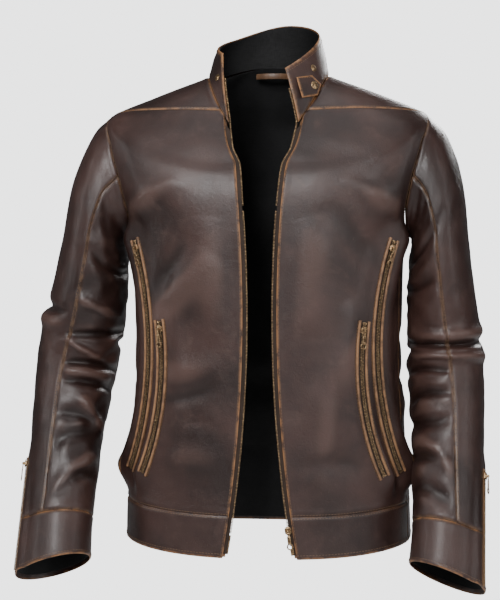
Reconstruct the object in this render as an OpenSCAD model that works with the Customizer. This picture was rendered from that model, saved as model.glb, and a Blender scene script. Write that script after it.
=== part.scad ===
// Leather riding jacket, hung open as a body would fill it.
// Origin: centre of the neck at the side neck point. +Z up, front faces -Y, wearer's left is +X.

/* [Body] */
// Height of the side neck point above the hem
body_length = 660; // [640:1:680]
// Half width of the hem band
hem_half = 202; // [199:1:206]
// Half width at the waist
waist_half = 188; // [184:1:190]
// Half width at the armpits
chest_half = 194; // [190:1:195]
// Half width over the shoulders
shoulder_half = 228; // [226:1:232]
// Depth of the front from the middle plane
front_depth = 125; // [122:1:128]
// Depth of the back over the shoulder blades
back_depth = 128; // [120:1:132]
// Half width of the neck at the collar seam
neck_half = 84; // [82:1:86]
// Half gap between the open fronts at its narrowest
front_gap = 17; // [15:1:20]
// Radius of the arc that each front edge follows
front_arc_r = 1945; // [1900:5:2000]

/* [Leather] */
// Thickness of the outer leather
leather_t = 1.6; // [1.2:0.1:1.8]
// Thickness of the lining cloth
lining_t = 0.8; // [0.6:0.1:1]
// Gap left between two sewn pieces
seam_gap = 1; // [0.8:0.1:1.4]

/* [Collar] */
// Height of the collar at the back
collar_height = 57; // [52:1:62]
// Length of the throat tab
tab_length = 40; // [34:1:42]
// Width of the throat tab
tab_width = 30; // [26:1:32]

/* [Sleeves] */
// Extra spread of the right sleeve, in degrees
right_spread = 5; // [3:0.5:6]
// Degrees round the sleeve between two facets
sleeve_step = 15; // [15,18]

/* [Zips] */
// Distance from one tooth to the next
tooth_pitch = 4; // [4:0.5:6]
// Length of a slider
slider_length = 11; // [10:0.5:13]
// Length of a pull tab
pull_length = 30; // [26:1:34]

/* [Hidden] */
$fn = 32;

brown = "#3a2a26";
tan = "#a9764a";
brass = "#8a6a3c";
black_cloth = "#141414";

// Rings of the body from the hem up to the neck seam.
// Each row: half width, front depth, back depth, height at the side, front and back, squareness.
body_rings = [
    [hem_half,            front_depth,      back_depth - 10, 12,  0,   8,   2.6],
    [hem_half - 2,        front_depth,      back_depth - 10, 68,  58,  66,  2.6],
    [waist_half + 5,      front_depth,      back_depth - 16, 150, 145, 150, 2.5],
    [waist_half,          front_depth,      back_depth - 23, 270, 265, 270, 2.5],
    [waist_half + 1,      front_depth,      back_depth - 16, 370, 365, 372, 2.6],
    [chest_half,          front_depth,      back_depth - 6,  450, 440, 455, 2.8],
    [shoulder_half - 16,  front_depth - 3,  back_depth,      510, 488, 525, 3.0],
    [shoulder_half,       front_depth - 10, back_depth - 10, 570, 518, 590, 2.9],
    [shoulder_half - 4,   front_depth - 19, back_depth - 30, 603, 535, 628, 2.7],
    [neck_half + 76,      front_depth - 25, back_depth - 44, 632, 548, 656, 2.4],
    [neck_half,           front_depth - 33, back_depth - 60, 660, 560, 682, 2.0]
];
band_row = 1;                  // the hem band's upper seam
neck_row = 10;                 // the collar seam
yoke_row = 7.2;                // the yoke's seam across the back
arm_row = 6.5;                 // middle of the armhole
arm_rows = 1.6;                // half the armhole's height
arm_top = arm_row + arm_rows;
arm_front = 25;                // degrees from the armhole's middle to its front edge
arm_back = 30;                 // degrees from its middle to its back edge
front_turn = 150;              // place round the armhole where front and side panel meet
back_turn = 135;               // place round the armhole where side panel and back meet
side_front = -arm_front * sin(front_turn);
side_back = arm_back * sin(back_turn);
yoke_curve = 0.6;              // how soon the yoke's front seam runs forward
yoke_reach = -45;              // angle where the yoke's front seam meets the collar
front_low = 330;               // height where the front gap is narrowest
collar_open = 520;             // height above which the fronts fall open

// Rings of the left sleeve, from the head down. The armhole itself is ring 0.
// Each row: outer x and height, inner x and height, middle y, half depth, forward tilt.
sleeve_rings = [
    [248, 578, 200, 430, 0,    72, 0],
    [272, 512, 198, 402, 0,    76, 0],
    [281, 430, 196, 376, 0,    75, 0],
    [290, 358, 195, 337, 1,    71, 0],
    [299, 298, 195, 288, 4,    66, 0],
    [303, 246, 196, 246, 2,    63, 12],
    [304, 188, 200, 190, -15,  59, 20],
    [302, 116, 203, 124, -43,  55, 24],
    [301, 28,  205, 48,  -80,  52, 25],
    [304, -42, 201, -4,  -108, 52, 25]
];
// The spread of a sleeve at each ring, as a share of the whole, and how much of it the inner side takes
spread_share = [0, 0.6, 0.75, 0.9, 1, 1.08, 1.05, 0.92, 0.8, 0.7, 0.66];
inner_share = [1, 0.5, 0.5, 0.5, 0.5, 0.6, 0.75, 0.9, 1, 1, 1];
shoulder_pivot = [222, 0, 606];
elbow_row = 5.5;
elbow_pivot = [249, 4, 269];    // the elbow bends about the X direction through here
cuff_row = 9;                  // seam between sleeve and cuff
last_row = 10;
nest = 5;                      // how far the lower sleeve's top sits inside the upper sleeve
nest_taper = 10;               // how much further in it is for each ring above the elbow

function lerp(p, q, t) = p + (q - p) * t;
function unit(v) = v / norm(v);
function signed_pow(x, e) = sign(x) * pow(abs(x), e);

// Catmull-Rom curve through the rows of a table
function spline(rows, t) =
    let (n = len(rows) - 1, c = min(max(t, 0), n), i = min(floor(c), n - 1), f = c - i)
    let (p1 = rows[i], p2 = rows[i + 1])
    let (p0 = i > 0 ? rows[i - 1] : 2 * p1 - p2, p3 = i + 2 <= n ? rows[i + 2] : 2 * p2 - p1)
    0.5 * (2 * p1 + (p2 - p0) * f + (2 * p0 - 5 * p1 + 4 * p2 - p3) * f * f
        + (3 * p1 - p0 - 3 * p2 + p3) * f * f * f);

// Point of the body's skin. Angle a: 0 wearer's left, 90 back, -90 front. Row v: 0 hem, 10 neck seam.
function body_skin(a, v) =
    let (r = spline(body_rings, v), e = 2 / r[6], c = cos(a), s = sin(a), front = s < 0)
    [r[0] * signed_pow(c, e),
     (front ? r[1] : r[2]) * signed_pow(s, e),
     r[3] + ((front ? r[4] : r[5]) - r[3]) * s * s - body_length];
function body_normal(a, v) =
    unit(cross(body_skin(a + 0.5, v) - body_skin(a - 0.5, v),
               body_skin(a, min(v + 0.02, neck_row)) - body_skin(a, max(v - 0.02, 0))));
function body(a, v, depth = 0) = body_skin(a, v) - depth * body_normal(a, v);

// The front edge: half gap at a height, and the angle where the skin has that x
function half_gap(h) =
    front_gap + pow(h - front_low, 2) / (2 * front_arc_r) + 0.003 * pow(max(0, h - collar_open), 2);
function edge_height(v) = spline(body_rings, v)[4] + (v > 8 ? (v - 8) * 14 : 0);
function edge_angle(v, inset = 0) =
    let (r = spline(body_rings, v))
    -acos(pow((half_gap(edge_height(v)) + inset) / r[0], r[6] / 2));

// Seam lines as angles at a row
function arm_share(v) = sqrt(max(0, 1 - pow((v - arm_row) / arm_rows, 2)));
function yoke_seam(v) = yoke_reach * pow(max(0, v - arm_top) / (neck_row - arm_top), yoke_curve);
function front_side(v) =
    v < arm_row ? min(side_front, -arm_front * arm_share(v))
    : v < arm_top ? -arm_front * arm_share(v)
    : yoke_seam(v);
function back_side(v) = v < arm_row ? max(side_back, arm_back * arm_share(v)) : arm_back * arm_share(v);
function arm_floor(a) = arm_row - arm_rows * sqrt(max(0, 1 - pow(a / (a < 0 ? arm_front : arm_back), 2)));
gap_deg = seam_gap * 0.36;     // the seam gap as an angle at the body's usual radius
gap_row = seam_gap * 0.012;    // the seam gap as part of a row

// Rows that a piece is built on: even below the armhole, then even round it, then even along the yoke seam
function even_rows(from, to, n) = [for (i = [0 : n]) lerp(from, to, i / n)];
function arm_rows_at(turns) = [for (b = turns) arm_row + arm_rows * cos(b)];
function turns_between(from, to, n) = [for (i = [1 : n]) lerp(from, to, i / n)];
function seam_rows(n) =
    [for (i = [1 : n]) arm_top + (neck_row - gap_row - arm_top) * pow(i / n, 1 / yoke_curve)];
yoke_turn = acos((yoke_row - arm_row) / arm_rows);
front_rows = concat(even_rows(band_row + gap_row, arm_rows_at([front_turn])[0], 9),
                    arm_rows_at(turns_between(front_turn, 0, 10)), seam_rows(6));
back_rows = concat(even_rows(band_row + gap_row, arm_rows_at([back_turn])[0], 9),
                   arm_rows_at(turns_between(back_turn, yoke_turn + 1, 5)));
yoke_rows = concat(arm_rows_at([yoke_turn - 1]), arm_rows_at(turns_between(yoke_turn - 1, 0, 4)), seam_rows(7));
inner_rows = concat(even_rows(0.1, arm_row - arm_rows, 6), arm_rows_at(turns_between(180, 0, 8)), seam_rows(4));

// Solid between two grids of points, rows running up and columns running anticlockwise from above
module between(outer, inner, closed = false) {
    rows = len(outer);
    cols = len(outer[0]);
    n = rows * cols;
    function at(i, j) = i * cols + (j % cols);
    last = closed ? cols - 1 : cols - 2;
    walls = [for (i = [0 : rows - 2], j = [0 : last])
        let (a = at(i, j), b = at(i + 1, j), c = at(i + 1, j + 1), d = at(i, j + 1))
        each [[a, b, c], [a, c, d], [a + n, c + n, b + n], [a + n, d + n, c + n]]];
    ends = [for (j = [0 : last])
        let (a = at(0, j), d = at(0, j + 1), b = at(rows - 1, j), c = at(rows - 1, j + 1))
        each [[a, d, d + n], [a, d + n, a + n], [c, b, b + n], [c, b + n, c + n]]];
    sides = closed ? [] : [for (i = [0 : rows - 2])
        let (a = at(i, 0), b = at(i + 1, 0), d = at(i, cols - 1), c = at(i + 1, cols - 1))
        each [[b, a, a + n], [b, a + n, b + n], [d, c, c + n], [d, c + n, d + n]]];
    polyhedron(concat([for (r = outer) each r], [for (r = inner) each r]),
               concat(walls, ends, sides), convexity = 6);
}

// A piece of the body: place(s, t) gives [angle, row] for s across, at each t of the list ts going up
module body_piece(place, ts, cols, depth, thickness) {
    grid = function(d) [for (t = ts) [for (j = [0 : cols])
        let (p = place(j / cols, t)) body(p[0], p[1], d)]];
    between(grid(depth), grid(depth + thickness));
}

module mirrored(side) {
    if (side == "right") mirror([1, 0, 0]) children();
    else children();
}

// ---- Outer leather of the body ----
leather_edge = 6;              // the front leather stops this far behind the zip's teeth

module front_panel() {
    place = function(s, v) [lerp(edge_angle(v, leather_edge), front_side(v) - gap_deg, s), v];
    color(brown) body_piece(place, front_rows, 8, 0, leather_t);
}

module side_panel() {
    place = function(s, t) let (a = lerp(side_front + gap_deg, side_back - gap_deg, s))
        [a, lerp(band_row + gap_row, arm_floor(a) - 2 * gap_row, t)];
    color(brown) body_piece(place, even_rows(0, 1, 10), 5, 0, leather_t);
}

module back_panel() {
    place = function(s, v) let (a = back_side(v) + gap_deg) [lerp(a, 180 - a, s), v];
    color(brown) body_piece(place, back_rows, 16, 0, leather_t);
}

module shoulder_yoke() {
    place = function(s, v)
        let (a = (v < arm_top ? arm_back * arm_share(v) : yoke_seam(v)) + gap_deg)
        [lerp(a, 180 - a, s), v];
    color(brown) body_piece(place, yoke_rows, 26, 0, leather_t);
}

module hem_band_front() {
    place = function(s, v) [lerp(edge_angle(v, leather_edge), side_front - gap_deg, s), v];
    color(brown) body_piece(place, even_rows(0, band_row - gap_row, 3), 8, 0, leather_t);
}

module hem_band_back() {
    place = function(s, v) [lerp(side_front + gap_deg, 180 - side_front - gap_deg, s), v];
    color(brown) body_piece(place, even_rows(0, band_row - gap_row, 3), 24, 0, leather_t);
}

// ---- Inside of the body ----
tape_depth = 2.3;
tape_t = 0.5;
facing_depth = 3.2;
bag_depth = 2.3;
bag_t = 2.2;
lining_depth = 5.3;
// The facing is 14 degrees wide and narrows towards the neck
function facing_turn(v) = lerp(14, 5, min(1, max(0, (v - 7.5) / 2)));

module front_facing() {
    place = function(s, v) let (a = edge_angle(v, leather_edge + 1)) [lerp(a, a + facing_turn(v), s), v];
    color(tan) body_piece(place, even_rows(0.06, neck_row - 0.06, 24), 2, facing_depth, 1.2);
}

// The lining has one side seam, straight below the armhole's middle
module front_lining() {
    place = function(s, v)
        let (edge = v < arm_top ? -arm_front * arm_share(v) : yoke_seam(v))
        [lerp(edge_angle(v, leather_edge + 1) + facing_turn(v) + gap_deg, edge - gap_deg, s), v];
    color(black_cloth) body_piece(place, inner_rows, 6, lining_depth, lining_t);
}

module back_lining() {
    place = function(s, v)
        let (a = (v < arm_top ? arm_back * arm_share(v) : yoke_seam(v)) + gap_deg) [lerp(a, 180 - a, s), v];
    color(black_cloth) body_piece(place, inner_rows, 14, lining_depth, lining_t);
}

// Each pocket bag hangs between leather and lining, on the front side of its zip
module pocket_bags_half() {
    chest = function(s, t) [lerp(-62, -27, s), lerp(3.05, 4.7, t)];
    hand = function(s, t) [lerp(-64, -36, s), lerp(1.2, 2.95, t)];
    body_piece(chest, even_rows(0, 1, 4), 4, bag_depth, bag_t);
    body_piece(hand, even_rows(0, 1, 4), 4, bag_depth, bag_t);
}

module pocket_bags() {
    color(black_cloth) {
        pocket_bags_half();
        mirror([1, 0, 0]) pocket_bags_half();
    }
}

// The hanger loop is a strap bowed off the back lining
loop_r = 40;
loop_turn = 76;
loop_rise = 14;
loop_strap = [1.2, 8];
module hanger_loop() {
    top = body(90, neck_row - 0.35, lining_depth + lining_t);
    color(brown) translate([0, top[1] + loop_r - loop_rise, top[2] - loop_strap[1]])
        rotate([0, 0, 270 - loop_turn / 2])
            rotate_extrude(angle = loop_turn) translate([loop_r, 0]) square(loop_strap);
}

// ---- Collar ----
collar_base_ends = [edge_angle(neck_row), 180 - edge_angle(neck_row)];
collar_top_ends = [-66, 212];
// Height of the collar's top edge, from its left end round the back to its right end
collar_top_h = [[666], [716], [660 + 22 + collar_height], [716], [690]];
collar_top_half = neck_half - 12;
collar_bulge = 2.5;
collar_top_front = 74;
collar_top_back = 70;

function collar(s, t, depth = 0) =
    let (ab = lerp(collar_base_ends[0], collar_base_ends[1], s), at = lerp(collar_top_ends[0], collar_top_ends[1], s))
    let (base = body_skin(ab, neck_row) + [0, 0, 1.4])
    let (top = [collar_top_half * cos(at), (sin(at) < 0 ? collar_top_front : collar_top_back) * sin(at),
                spline(collar_top_h, s * 4)[0] - body_length])
    let (p = lerp(base, top, t), out = unit([p[0], p[1], 0]))
    p + out * (collar_bulge * sin(180 * t) - depth);

module collar_piece(depth, thickness) {
    grid = function(d) [for (i = [0 : 4]) [for (j = [0 : 36]) collar(j / 36, i / 4, d)]];
    between(grid(depth), grid(depth + thickness));
}

module collar_shell() { color(brown) collar_piece(0, leather_t); }
module collar_lining() { color(black_cloth) collar_piece(leather_t + 0.6, 1.2); }

// Frame on a surface: x across, y down along the piece, z out of the surface
module placed(x, y, z, at) {
    multmatrix([[x[0], y[0], z[0], at[0]], [x[1], y[1], z[1], at[1]], [x[2], y[2], z[2], at[2]]]) children();
}

// The throat tab lies back on the left end of the collar, sewn beside the collar's front edge
tab_s = 0.02;
tab_t = 0.52;
tab_lift = 3.6;                // clear of the collar's curve along the whole tab
tab_foot = collar(tab_s, tab_t, -tab_lift);
tab_up = unit(collar(tab_s, tab_t + 0.25, -tab_lift) - collar(tab_s, tab_t - 0.25, -tab_lift));
tab_far = collar(tab_s + 0.115, tab_t + 0.06, -tab_lift);
tab_out = unit(cross(tab_far - tab_foot, tab_up));
tab_along = cross(tab_up, tab_out);
snap_at = tab_length - 13;
snap_r = 6;

module tab_outline() {
    point = tab_width / 2;
    polygon([[0.5, -point], [tab_length - 12, -point], [tab_length, 0], [tab_length - 12, point], [0.5, point]]);
}

module collar_tab() {
    color(brown) placed(tab_along, tab_up, tab_out, tab_foot) difference() {
        linear_extrude(1.8) offset(r = 2, $fn = 16) offset(delta = -2) tab_outline();
        translate([snap_at, 0, -1]) cylinder(r = 2.2, h = 5);
    }
}

module collar_tab_snap() {
    color(brass) placed(tab_along, tab_up, tab_out, tab_foot) translate([snap_at, 0, 0]) {
        translate([0, 0, 2]) cylinder(r1 = snap_r, r2 = snap_r - 1.6, h = 1.8);
        translate([0, 0, 0.2]) cylinder(r = 2, h = 2);
    }
}

// Two studs take the tab: one under it on the left, one across the opening on the right
module stud(s, t) {
    across = collar(s + 0.01, t) - collar(s - 0.01, t);
    up = unit(collar(s, t + 0.1) - collar(s, t - 0.1));
    out = unit(cross(across, up));
    placed(cross(up, out), up, out, collar(s, t, -0.4)) {
        cylinder(r = snap_r - 1, h = 0.6);
        cylinder(r = 2, h = 1.4);
    }
}

module snap_studs() {
    color(brass) {
        stud(0.098, 0.57);
        stud(0.955, 0.5);
    }
}

// ---- Zips ----
// An arc through three points: [centre, radius, towards the bulge, down, outward, first angle, last angle]
function arc_through(top, mid, low, outward) =
    let (u = top - mid, w = low - mid, m = cross(u, w))
    let (centre = mid + (cross(m, u) * (w * w) + cross(w, m) * (u * u)) / (2 * (m * m)))
    let (n = unit(m) * sign(m * outward), r = norm(centre - mid), e1 = unit(mid - centre), e2 = cross(n, e1))
    [centre, r, e1, e2, n,
     atan2((top - centre) * e2, (top - centre) * e1), atan2((low - centre) * e2, (low - centre) * e1)];
zip_lift = 4.8;                // the pocket zips' middle plane above the leather
function zip_on_body(p, q, r) =
    arc_through(body(p[0], p[1], -zip_lift), body(q[0], q[1], -zip_lift), body(r[0], r[1], -zip_lift),
                body_normal(q[0], q[1]));
chest_zip = zip_on_body([-28.5, 4.75], [-38, 3.6], [-22, 1.6]);
hand_zip = zip_on_body([-47.6, 3.5], [-48.4, 2.65], [-37.2, 1.6]);
front_plane = -(front_depth - 2.8);
front_arc_top = 470;
front_zip = let (c = [front_gap + front_arc_r, front_plane, front_low - body_length])
    [c, front_arc_r, [-1, 0, 0], [0, 0, -1], [0, -1, 0],
     -asin((front_arc_top - front_low) / front_arc_r), asin((front_low - 6) / front_arc_r)];

module on_arc(arc, phi) {
    x = arc[2] * cos(phi) + arc[3] * sin(phi);
    y = arc[3] * cos(phi) - arc[2] * sin(phi);
    placed(x, y, arc[4], arc[0] + arc[1] * x) children();
}

// A band with a rectangular section that follows an arc
module arc_band(arc, x0, x1, z0, z1, from, to) {
    placed(arc[2], arc[3], arc[4], arc[0]) rotate([0, 0, from])
        rotate_extrude(angle = to - from, $fn = 360) translate([arc[1] + x0, z0]) square([x1 - x0, z1 - z0]);
}

tooth_w = 2.3;
tooth_h = 1.7;
module tooth_row(arc, offset, phase, from, to) {
    step = tooth_pitch / arc[1] * 180 / PI;
    for (phi = [from + step * (0.5 + phase) : step : to - step * 0.4])
        on_arc(arc, phi) translate([offset - tooth_w / 2, -tooth_pitch * 0.2, -0.2])
            cube([tooth_w, tooth_pitch * 0.4, tooth_h]);
}

slider_r = 8;                  // half of slider and end stop, along the zip
function slider_turn(arc) = slider_r / arc[1] * 180 / PI;

module pocket_tape(arc) {
    arc_band(arc, 0.3, 4.6, -0.9, -0.4, arc[5], arc[6]);
    arc_band(arc, -4.6, -0.3, -0.9, -0.4, arc[5], arc[6]);
}

module pocket_teeth(arc) {
    tooth_row(arc, -1.35, 0, arc[5], arc[6]);
    tooth_row(arc, 1.35, 0.5, arc[5], arc[6]);
    for (phi = [arc[5], arc[6]])
        on_arc(arc, phi) translate([-3, -1, -0.2]) cube([6, 2, 1.8]);
}

// Two narrow strips of leather frame each pocket zip
module pocket_welt(arc) {
    over = 3 / arc[1] * 180 / PI;
    arc_band(arc, 5.4, 8.4, -0.9, 1.1, arc[5] - over, arc[6] + over);
    arc_band(arc, -8.4, -5.4, -0.9, 1.1, arc[5] - over, arc[6] + over);
}

module each_pocket() {
    for (m = [0, 1]) mirror([m, 0, 0]) {
        $arc = chest_zip;
        children();
    }
    for (m = [0, 1]) mirror([m, 0, 0]) {
        $arc = hand_zip;
        children();
    }
}

module pocket_zip_tapes() { color("#2a1d18") each_pocket() pocket_tape($arc); }
module pocket_zip_teeth() { color(brass) each_pocket() pocket_teeth($arc); }
module pocket_welts() { color(tan) each_pocket() pocket_welt($arc); }

// The front zip above its arc: a path of frames up the neck and the collar's front end
collar_reach = 0.66;           // the zip ends this far up the collar
beside_collar = tooth_w / 2 + 1;    // the teeth run this far in front of the collar's edge
function upper_row(u) = lerp(5.66, neck_row, u);
function front_path(side, u) =
    u <= 1 ? body(edge_angle(upper_row(u)), upper_row(u), 2.8) : collar(side == "left" ? 0 : 1, (u - 1) * collar_reach, 0.8);
upper_teeth = 40;

module front_zip_upper_teeth(side) {
    for (i = [0 : upper_teeth - 1]) {
        u = lerp(0.02, 1.94, i / (upper_teeth - 1));
        p = front_path(side, u);
        // right-hand points already lie on that side above the neck seam
        flip = side == "right" && u > 1 ? -1 : 1;
        q = front_path(side, u + 0.04);
        along = unit([flip * (p[0] - q[0]), p[1] - q[1], p[2] - q[2]]);
        x = unit(cross(along, [0, -1, 0]));
        shift = beside_collar * min(1, max(0, 8 * u - 6.6));
        placed(x, along, cross(x, along), [flip * p[0], p[1], p[2]])
            translate([shift - tooth_w / 2, -tooth_pitch * 0.2, -tooth_h / 2])
                cube([tooth_w, tooth_pitch * 0.4, tooth_h]);
    }
}

module front_zip_teeth(side) {
    color(brass) mirrored(side) {
        step = tooth_pitch / front_arc_r * 180 / PI;
        ends = side == "left" ? box_h + 3 : pin_h + 2;
        for (phi = [front_zip[5] : step : front_zip[6] - ends / front_arc_r * 180 / PI])
            on_arc(front_zip, phi) translate([-tooth_w / 2, -tooth_pitch * 0.2, -tooth_h / 2])
                cube([tooth_w, tooth_pitch * 0.4, tooth_h]);
        front_zip_upper_teeth(side);
    }
}

// The tape runs from behind the teeth to under the leather
tape_from = 1.9;
tape_to = 15;
module front_zip_tape() {
    place = function(s, v) [edge_angle(v, lerp(tape_from, tape_to, s)), v];
    color("#2a1d18") body_piece(place, even_rows(0.1, neck_row - 0.1, 24), 1, tape_depth, tape_t);
}

// Retainer box on the left, insertion pin on the right
box_h = 9;
pin_h = 26;
module front_zip_box_and_pin() {
    color(brass) {
        on_arc(front_zip, front_zip[6]) difference() {
            translate([-3.2, -box_h, -2.2]) cube([4.4, box_h, 3.8]);
            // The slot that holds the tape's edge
            translate([-4, -box_h - 1, -1.4]) cube([2.5, box_h + 2, 1.3]);
        }
        mirror([1, 0, 0]) on_arc(front_zip, front_zip[6]) translate([-1, -pin_h, -1]) cube([2, pin_h, 2]);
    }
}

// A slider rides over the teeth; its bridge carries the pin that the pull hangs from
slider_w = 9;
pin_z = 5.2;
pin_r = 0.8;
slot_z = [-1.3, 0.9];          // the slot that the tape of the front zip leaves through
module slider(channel_w, channel_z, tape_slot) {
    half = slider_length / 2;
    color(brass) {
        difference() {
            union() {
                translate([-slider_w / 2 + 1, -half, -0.2]) cube([slider_w - 2, slider_length, 3]);
                translate([-slider_w / 2, -half + 2, -0.2]) cube([slider_w, slider_length - 4, 3]);
                if (tape_slot) translate([-slider_w / 2, -half + 2, -2.4]) cube([slider_w, slider_length - 4, 3]);
                for (x = [-2.6, 1.6]) translate([x, -1.6, 2.6]) cube([1, 3.2, pin_z - 1.4]);
            }
            translate([-channel_w / 2, -half - 1, channel_z[0]]) cube([channel_w, slider_length + 2, channel_z[1] - channel_z[0]]);
            if (tape_slot) translate([-slider_w, -half - 1, slot_z[0]])
                cube([slider_w, slider_length + 2, slot_z[1] - slot_z[0]]);
        }
        translate([-2.2, 0, pin_z]) rotate([0, 90, 0]) cylinder(r = pin_r, h = 4.4);
    }
}

// A long pull: an eye round the pin, a waist, and an open ring at the end
module pull() {
    color(brass) {
        difference() {
            union() {
                translate([-1.3, 0, pin_z]) rotate([0, 90, 0]) cylinder(r = 1.8, h = 2.6);
                translate([-1.3, 0.9, pin_z - 0.7]) cube([2.6, 8, 1.4]);
                translate([0, pull_length - 9, pin_z - 0.7]) cylinder(r = 4.6, h = 1.4);
                translate([-2.6, 6, pin_z - 0.7]) cube([5.2, pull_length - 14, 1.4]);
            }
            translate([-2, 0, pin_z]) rotate([0, 90, 0]) cylinder(r = pin_r + 0.08, h = 4);
            translate([0, pull_length - 9, pin_z - 2]) cylinder(r = 2.8, h = 4);
        }
    }
}

slider_rest = slider_r + 2;    // how far each pocket slider's middle is below its zip's top stop
module at_pocket_slider(arc, side) {
    mirrored(side) on_arc(arc, arc[5] + slider_rest / arc[1] * 180 / PI) children();
}

module pocket_slider(arc, side) { at_pocket_slider(arc, side) slider(5.8, [-1, 1.8], false); }
module pocket_pull(arc, side) { at_pocket_slider(arc, side) pull(); }

front_slider_rise = 34;        // the front slider's middle above the bottom of its zip
front_slider_phi = front_zip[6] - front_slider_rise / front_arc_r * 180 / PI;
module front_zip_slider() { on_arc(front_zip, front_slider_phi) slider(3.4, [-1.4, 1.4], true); }
module front_zip_pull() { on_arc(front_zip, front_slider_phi) pull(); }

// ---- Sleeves ----
// Turns a sleeve point outward about the shoulder
function spread(p, deg) =
    let (q = p - shoulder_pivot)
    [q[0] * cos(deg) - q[2] * sin(deg), q[1], q[0] * sin(deg) + q[2] * cos(deg)] + shoulder_pivot;
function ring_middle(k) = let (r = sleeve_rings[k - 1]) [(r[0] + r[2]) / 2, r[4], (r[1] + r[3]) / 2];
function arm_point(b) =
    body_skin((sin(b) > 0 ? arm_back : arm_front) * sin(b), arm_row + arm_rows * cos(b)) + [0, 0, body_length];
arm_middle = (arm_point(0) + arm_point(180)) / 2;

// Point of ring k at angle b: 0 outside, 90 back, 180 inside, 270 front; drawn in by depth
function turned_ring_point(b, k, deg) =
    let (r = sleeve_rings[k - 1], w = [(r[0] - r[2]) / 2, 0, (r[1] - r[3]) / 2])
    let (share = spread_share[k] * lerp(1, inner_share[k], (1 - cos(b)) / 2))
    spread(ring_middle(k) + w * cos(b) + [0, cos(r[6]), -sin(r[6])] * r[5] * sin(b), deg * share);
function sleeve_ring_point(b, k, depth, deg) =
    let (p = k == 0 ? arm_point(b) : turned_ring_point(b, k, deg))
    let (m = k == 0 ? arm_middle : (turned_ring_point(0, k, deg) + turned_ring_point(180, k, deg)) / 2)
    p - depth * unit(p - m);
function sleeve(b, k, depth, deg) =
    spline([for (i = [0 : last_row]) sleeve_ring_point(b, i, depth, deg)], k) - [0, 0, body_length];

function spread_of(side) = side == "right" ? right_spread : 0;
// The sleeve's front seam drifts outward on its way down; its back seam runs straight
function front_seam(k) = lerp(-100, -72, k / last_row);
function back_seam(k) = 90;
function front_seam_again(k) = 360 + front_seam(k);
b_gap = 0.9;                   // the seam gap as an angle round the sleeve
lining_step = 20;              // degrees round the sleeve between two facets of its lining

// Piece of a sleeve from angle from(k) to angle to(k), between rows top(b) and low(b), drawn in by inset(k)
module sleeve_piece(side, from, to, top, low, rows, inset, thickness, step = sleeve_step) {
    turn = to(0) - from(0);
    cols = round(turn / step);
    whole = turn >= 360;
    grid = function(d) [for (i = [rows : -1 : 0]) [for (j = [0 : cols - (whole ? 1 : 0)])
        let (b = lerp(from(0), to(0), j / cols), k = lerp(top(b), low(b), i / rows))
        sleeve(lerp(from(k), to(k), j / cols), k, inset(k) + d, spread_of(side))]];
    mirrored(side) between(grid(0), grid(thickness), whole);
}

whole_from = function(k) 0;
whole_to = function(k) 360;
outer_from = function(k) front_seam(k) + b_gap;
outer_to = function(k) back_seam(k) - b_gap;
under_from = function(k) back_seam(k) + b_gap;
under_to = function(k) front_seam_again(k) - b_gap;

upper_top = function(b) 0.03;
rim_slant = 0.27;              // the elbow's edges are cut this much higher in front and lower behind
elbow_rim = function(b) elbow_row - 0.32 + rim_slant * sin(b);
lower_top = function(b) elbow_row - 0.57 + rim_slant * sin(b);
no_inset = function(k) 0;
nested = function(k) nest * min(1, max(0, 2 * (elbow_row + 1 - k))) + nest_taper * max(0, elbow_row - k);

module upper_sleeve(side, from, to) {
    color(brown) sleeve_piece(side, from, to, upper_top, elbow_rim, 11, no_inset, leather_t);
}

module lower_sleeve(side, from, to) {
    color(brown) sleeve_piece(side, from, to, lower_top, function(b) cuff_row - 0.02, 9, nested, leather_t);
}

module upper_sleeve_lining(side) {
    color(black_cloth) sleeve_piece(side, whole_from, whole_to, function(b) 0.2, function(b) 4, 6,
                                    function(k) 4.4, lining_t, lining_step);
}

module lower_sleeve_lining(side) {
    color(black_cloth) sleeve_piece(side, whole_from, whole_to, function(b) elbow_row - 0.1,
                                    function(b) last_row - 0.1, 8, function(k) nested(k) + 3.4, lining_t, lining_step);
}

module cuff(side) {
    color(brown) sleeve_piece(side, whole_from, whole_to, function(b) cuff_row + 0.01, function(b) last_row, 3,
                              no_inset, leather_t);
}

// ---- Cuff zips: straight, from above the cuff down to its edge ----
function cuff_zip_end(b, k, side) = sleeve(b, k, -2.8, spread_of(side));
cuff_zip_top = [-14, 8.05];
cuff_zip_low = [-26, 9.96];
function cuff_frame(side) =
    let (p = cuff_zip_end(cuff_zip_top[0], cuff_zip_top[1], side), q = cuff_zip_end(cuff_zip_low[0], cuff_zip_low[1], side))
    let (y = unit(q - p), mid_b = (cuff_zip_top[0] + cuff_zip_low[0]) / 2)
    let (out = sleeve(mid_b, 9, -5, spread_of(side)) - sleeve(mid_b, 9, 5, spread_of(side)))
    let (x = unit(cross(y, out)))
    [x, y, cross(x, y), p, norm(q - p)];

module on_cuff(side) {
    f = cuff_frame(side);
    mirrored(side) placed(f[0], f[1], f[2], f[3]) children();
}

module cuff_zip(side) {
    long = cuff_frame(side)[4];
    on_cuff(side) {
        color("#2a1d18") for (x = [-4.2, 0.3]) translate([x, 0, -0.9]) cube([3.9, long, 0.5]);
        color(brass) for (y = [tooth_pitch : tooth_pitch : long - 3], m = [0, 1])
            translate([m == 0 ? -1.35 - tooth_w / 2 : 1.35 - tooth_w / 2, y + m * tooth_pitch / 2, -0.2])
                cube([tooth_w, tooth_pitch * 0.4, tooth_h]);
    }
}

cuff_slider_rest = slider_r + 2;
module cuff_zip_slider(side) { on_cuff(side) translate([0, cuff_slider_rest, 0]) slider(5.8, [-1, 1.8], false); }
module cuff_zip_pull(side) { on_cuff(side) translate([0, cuff_slider_rest, 0]) pull(); }

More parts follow.
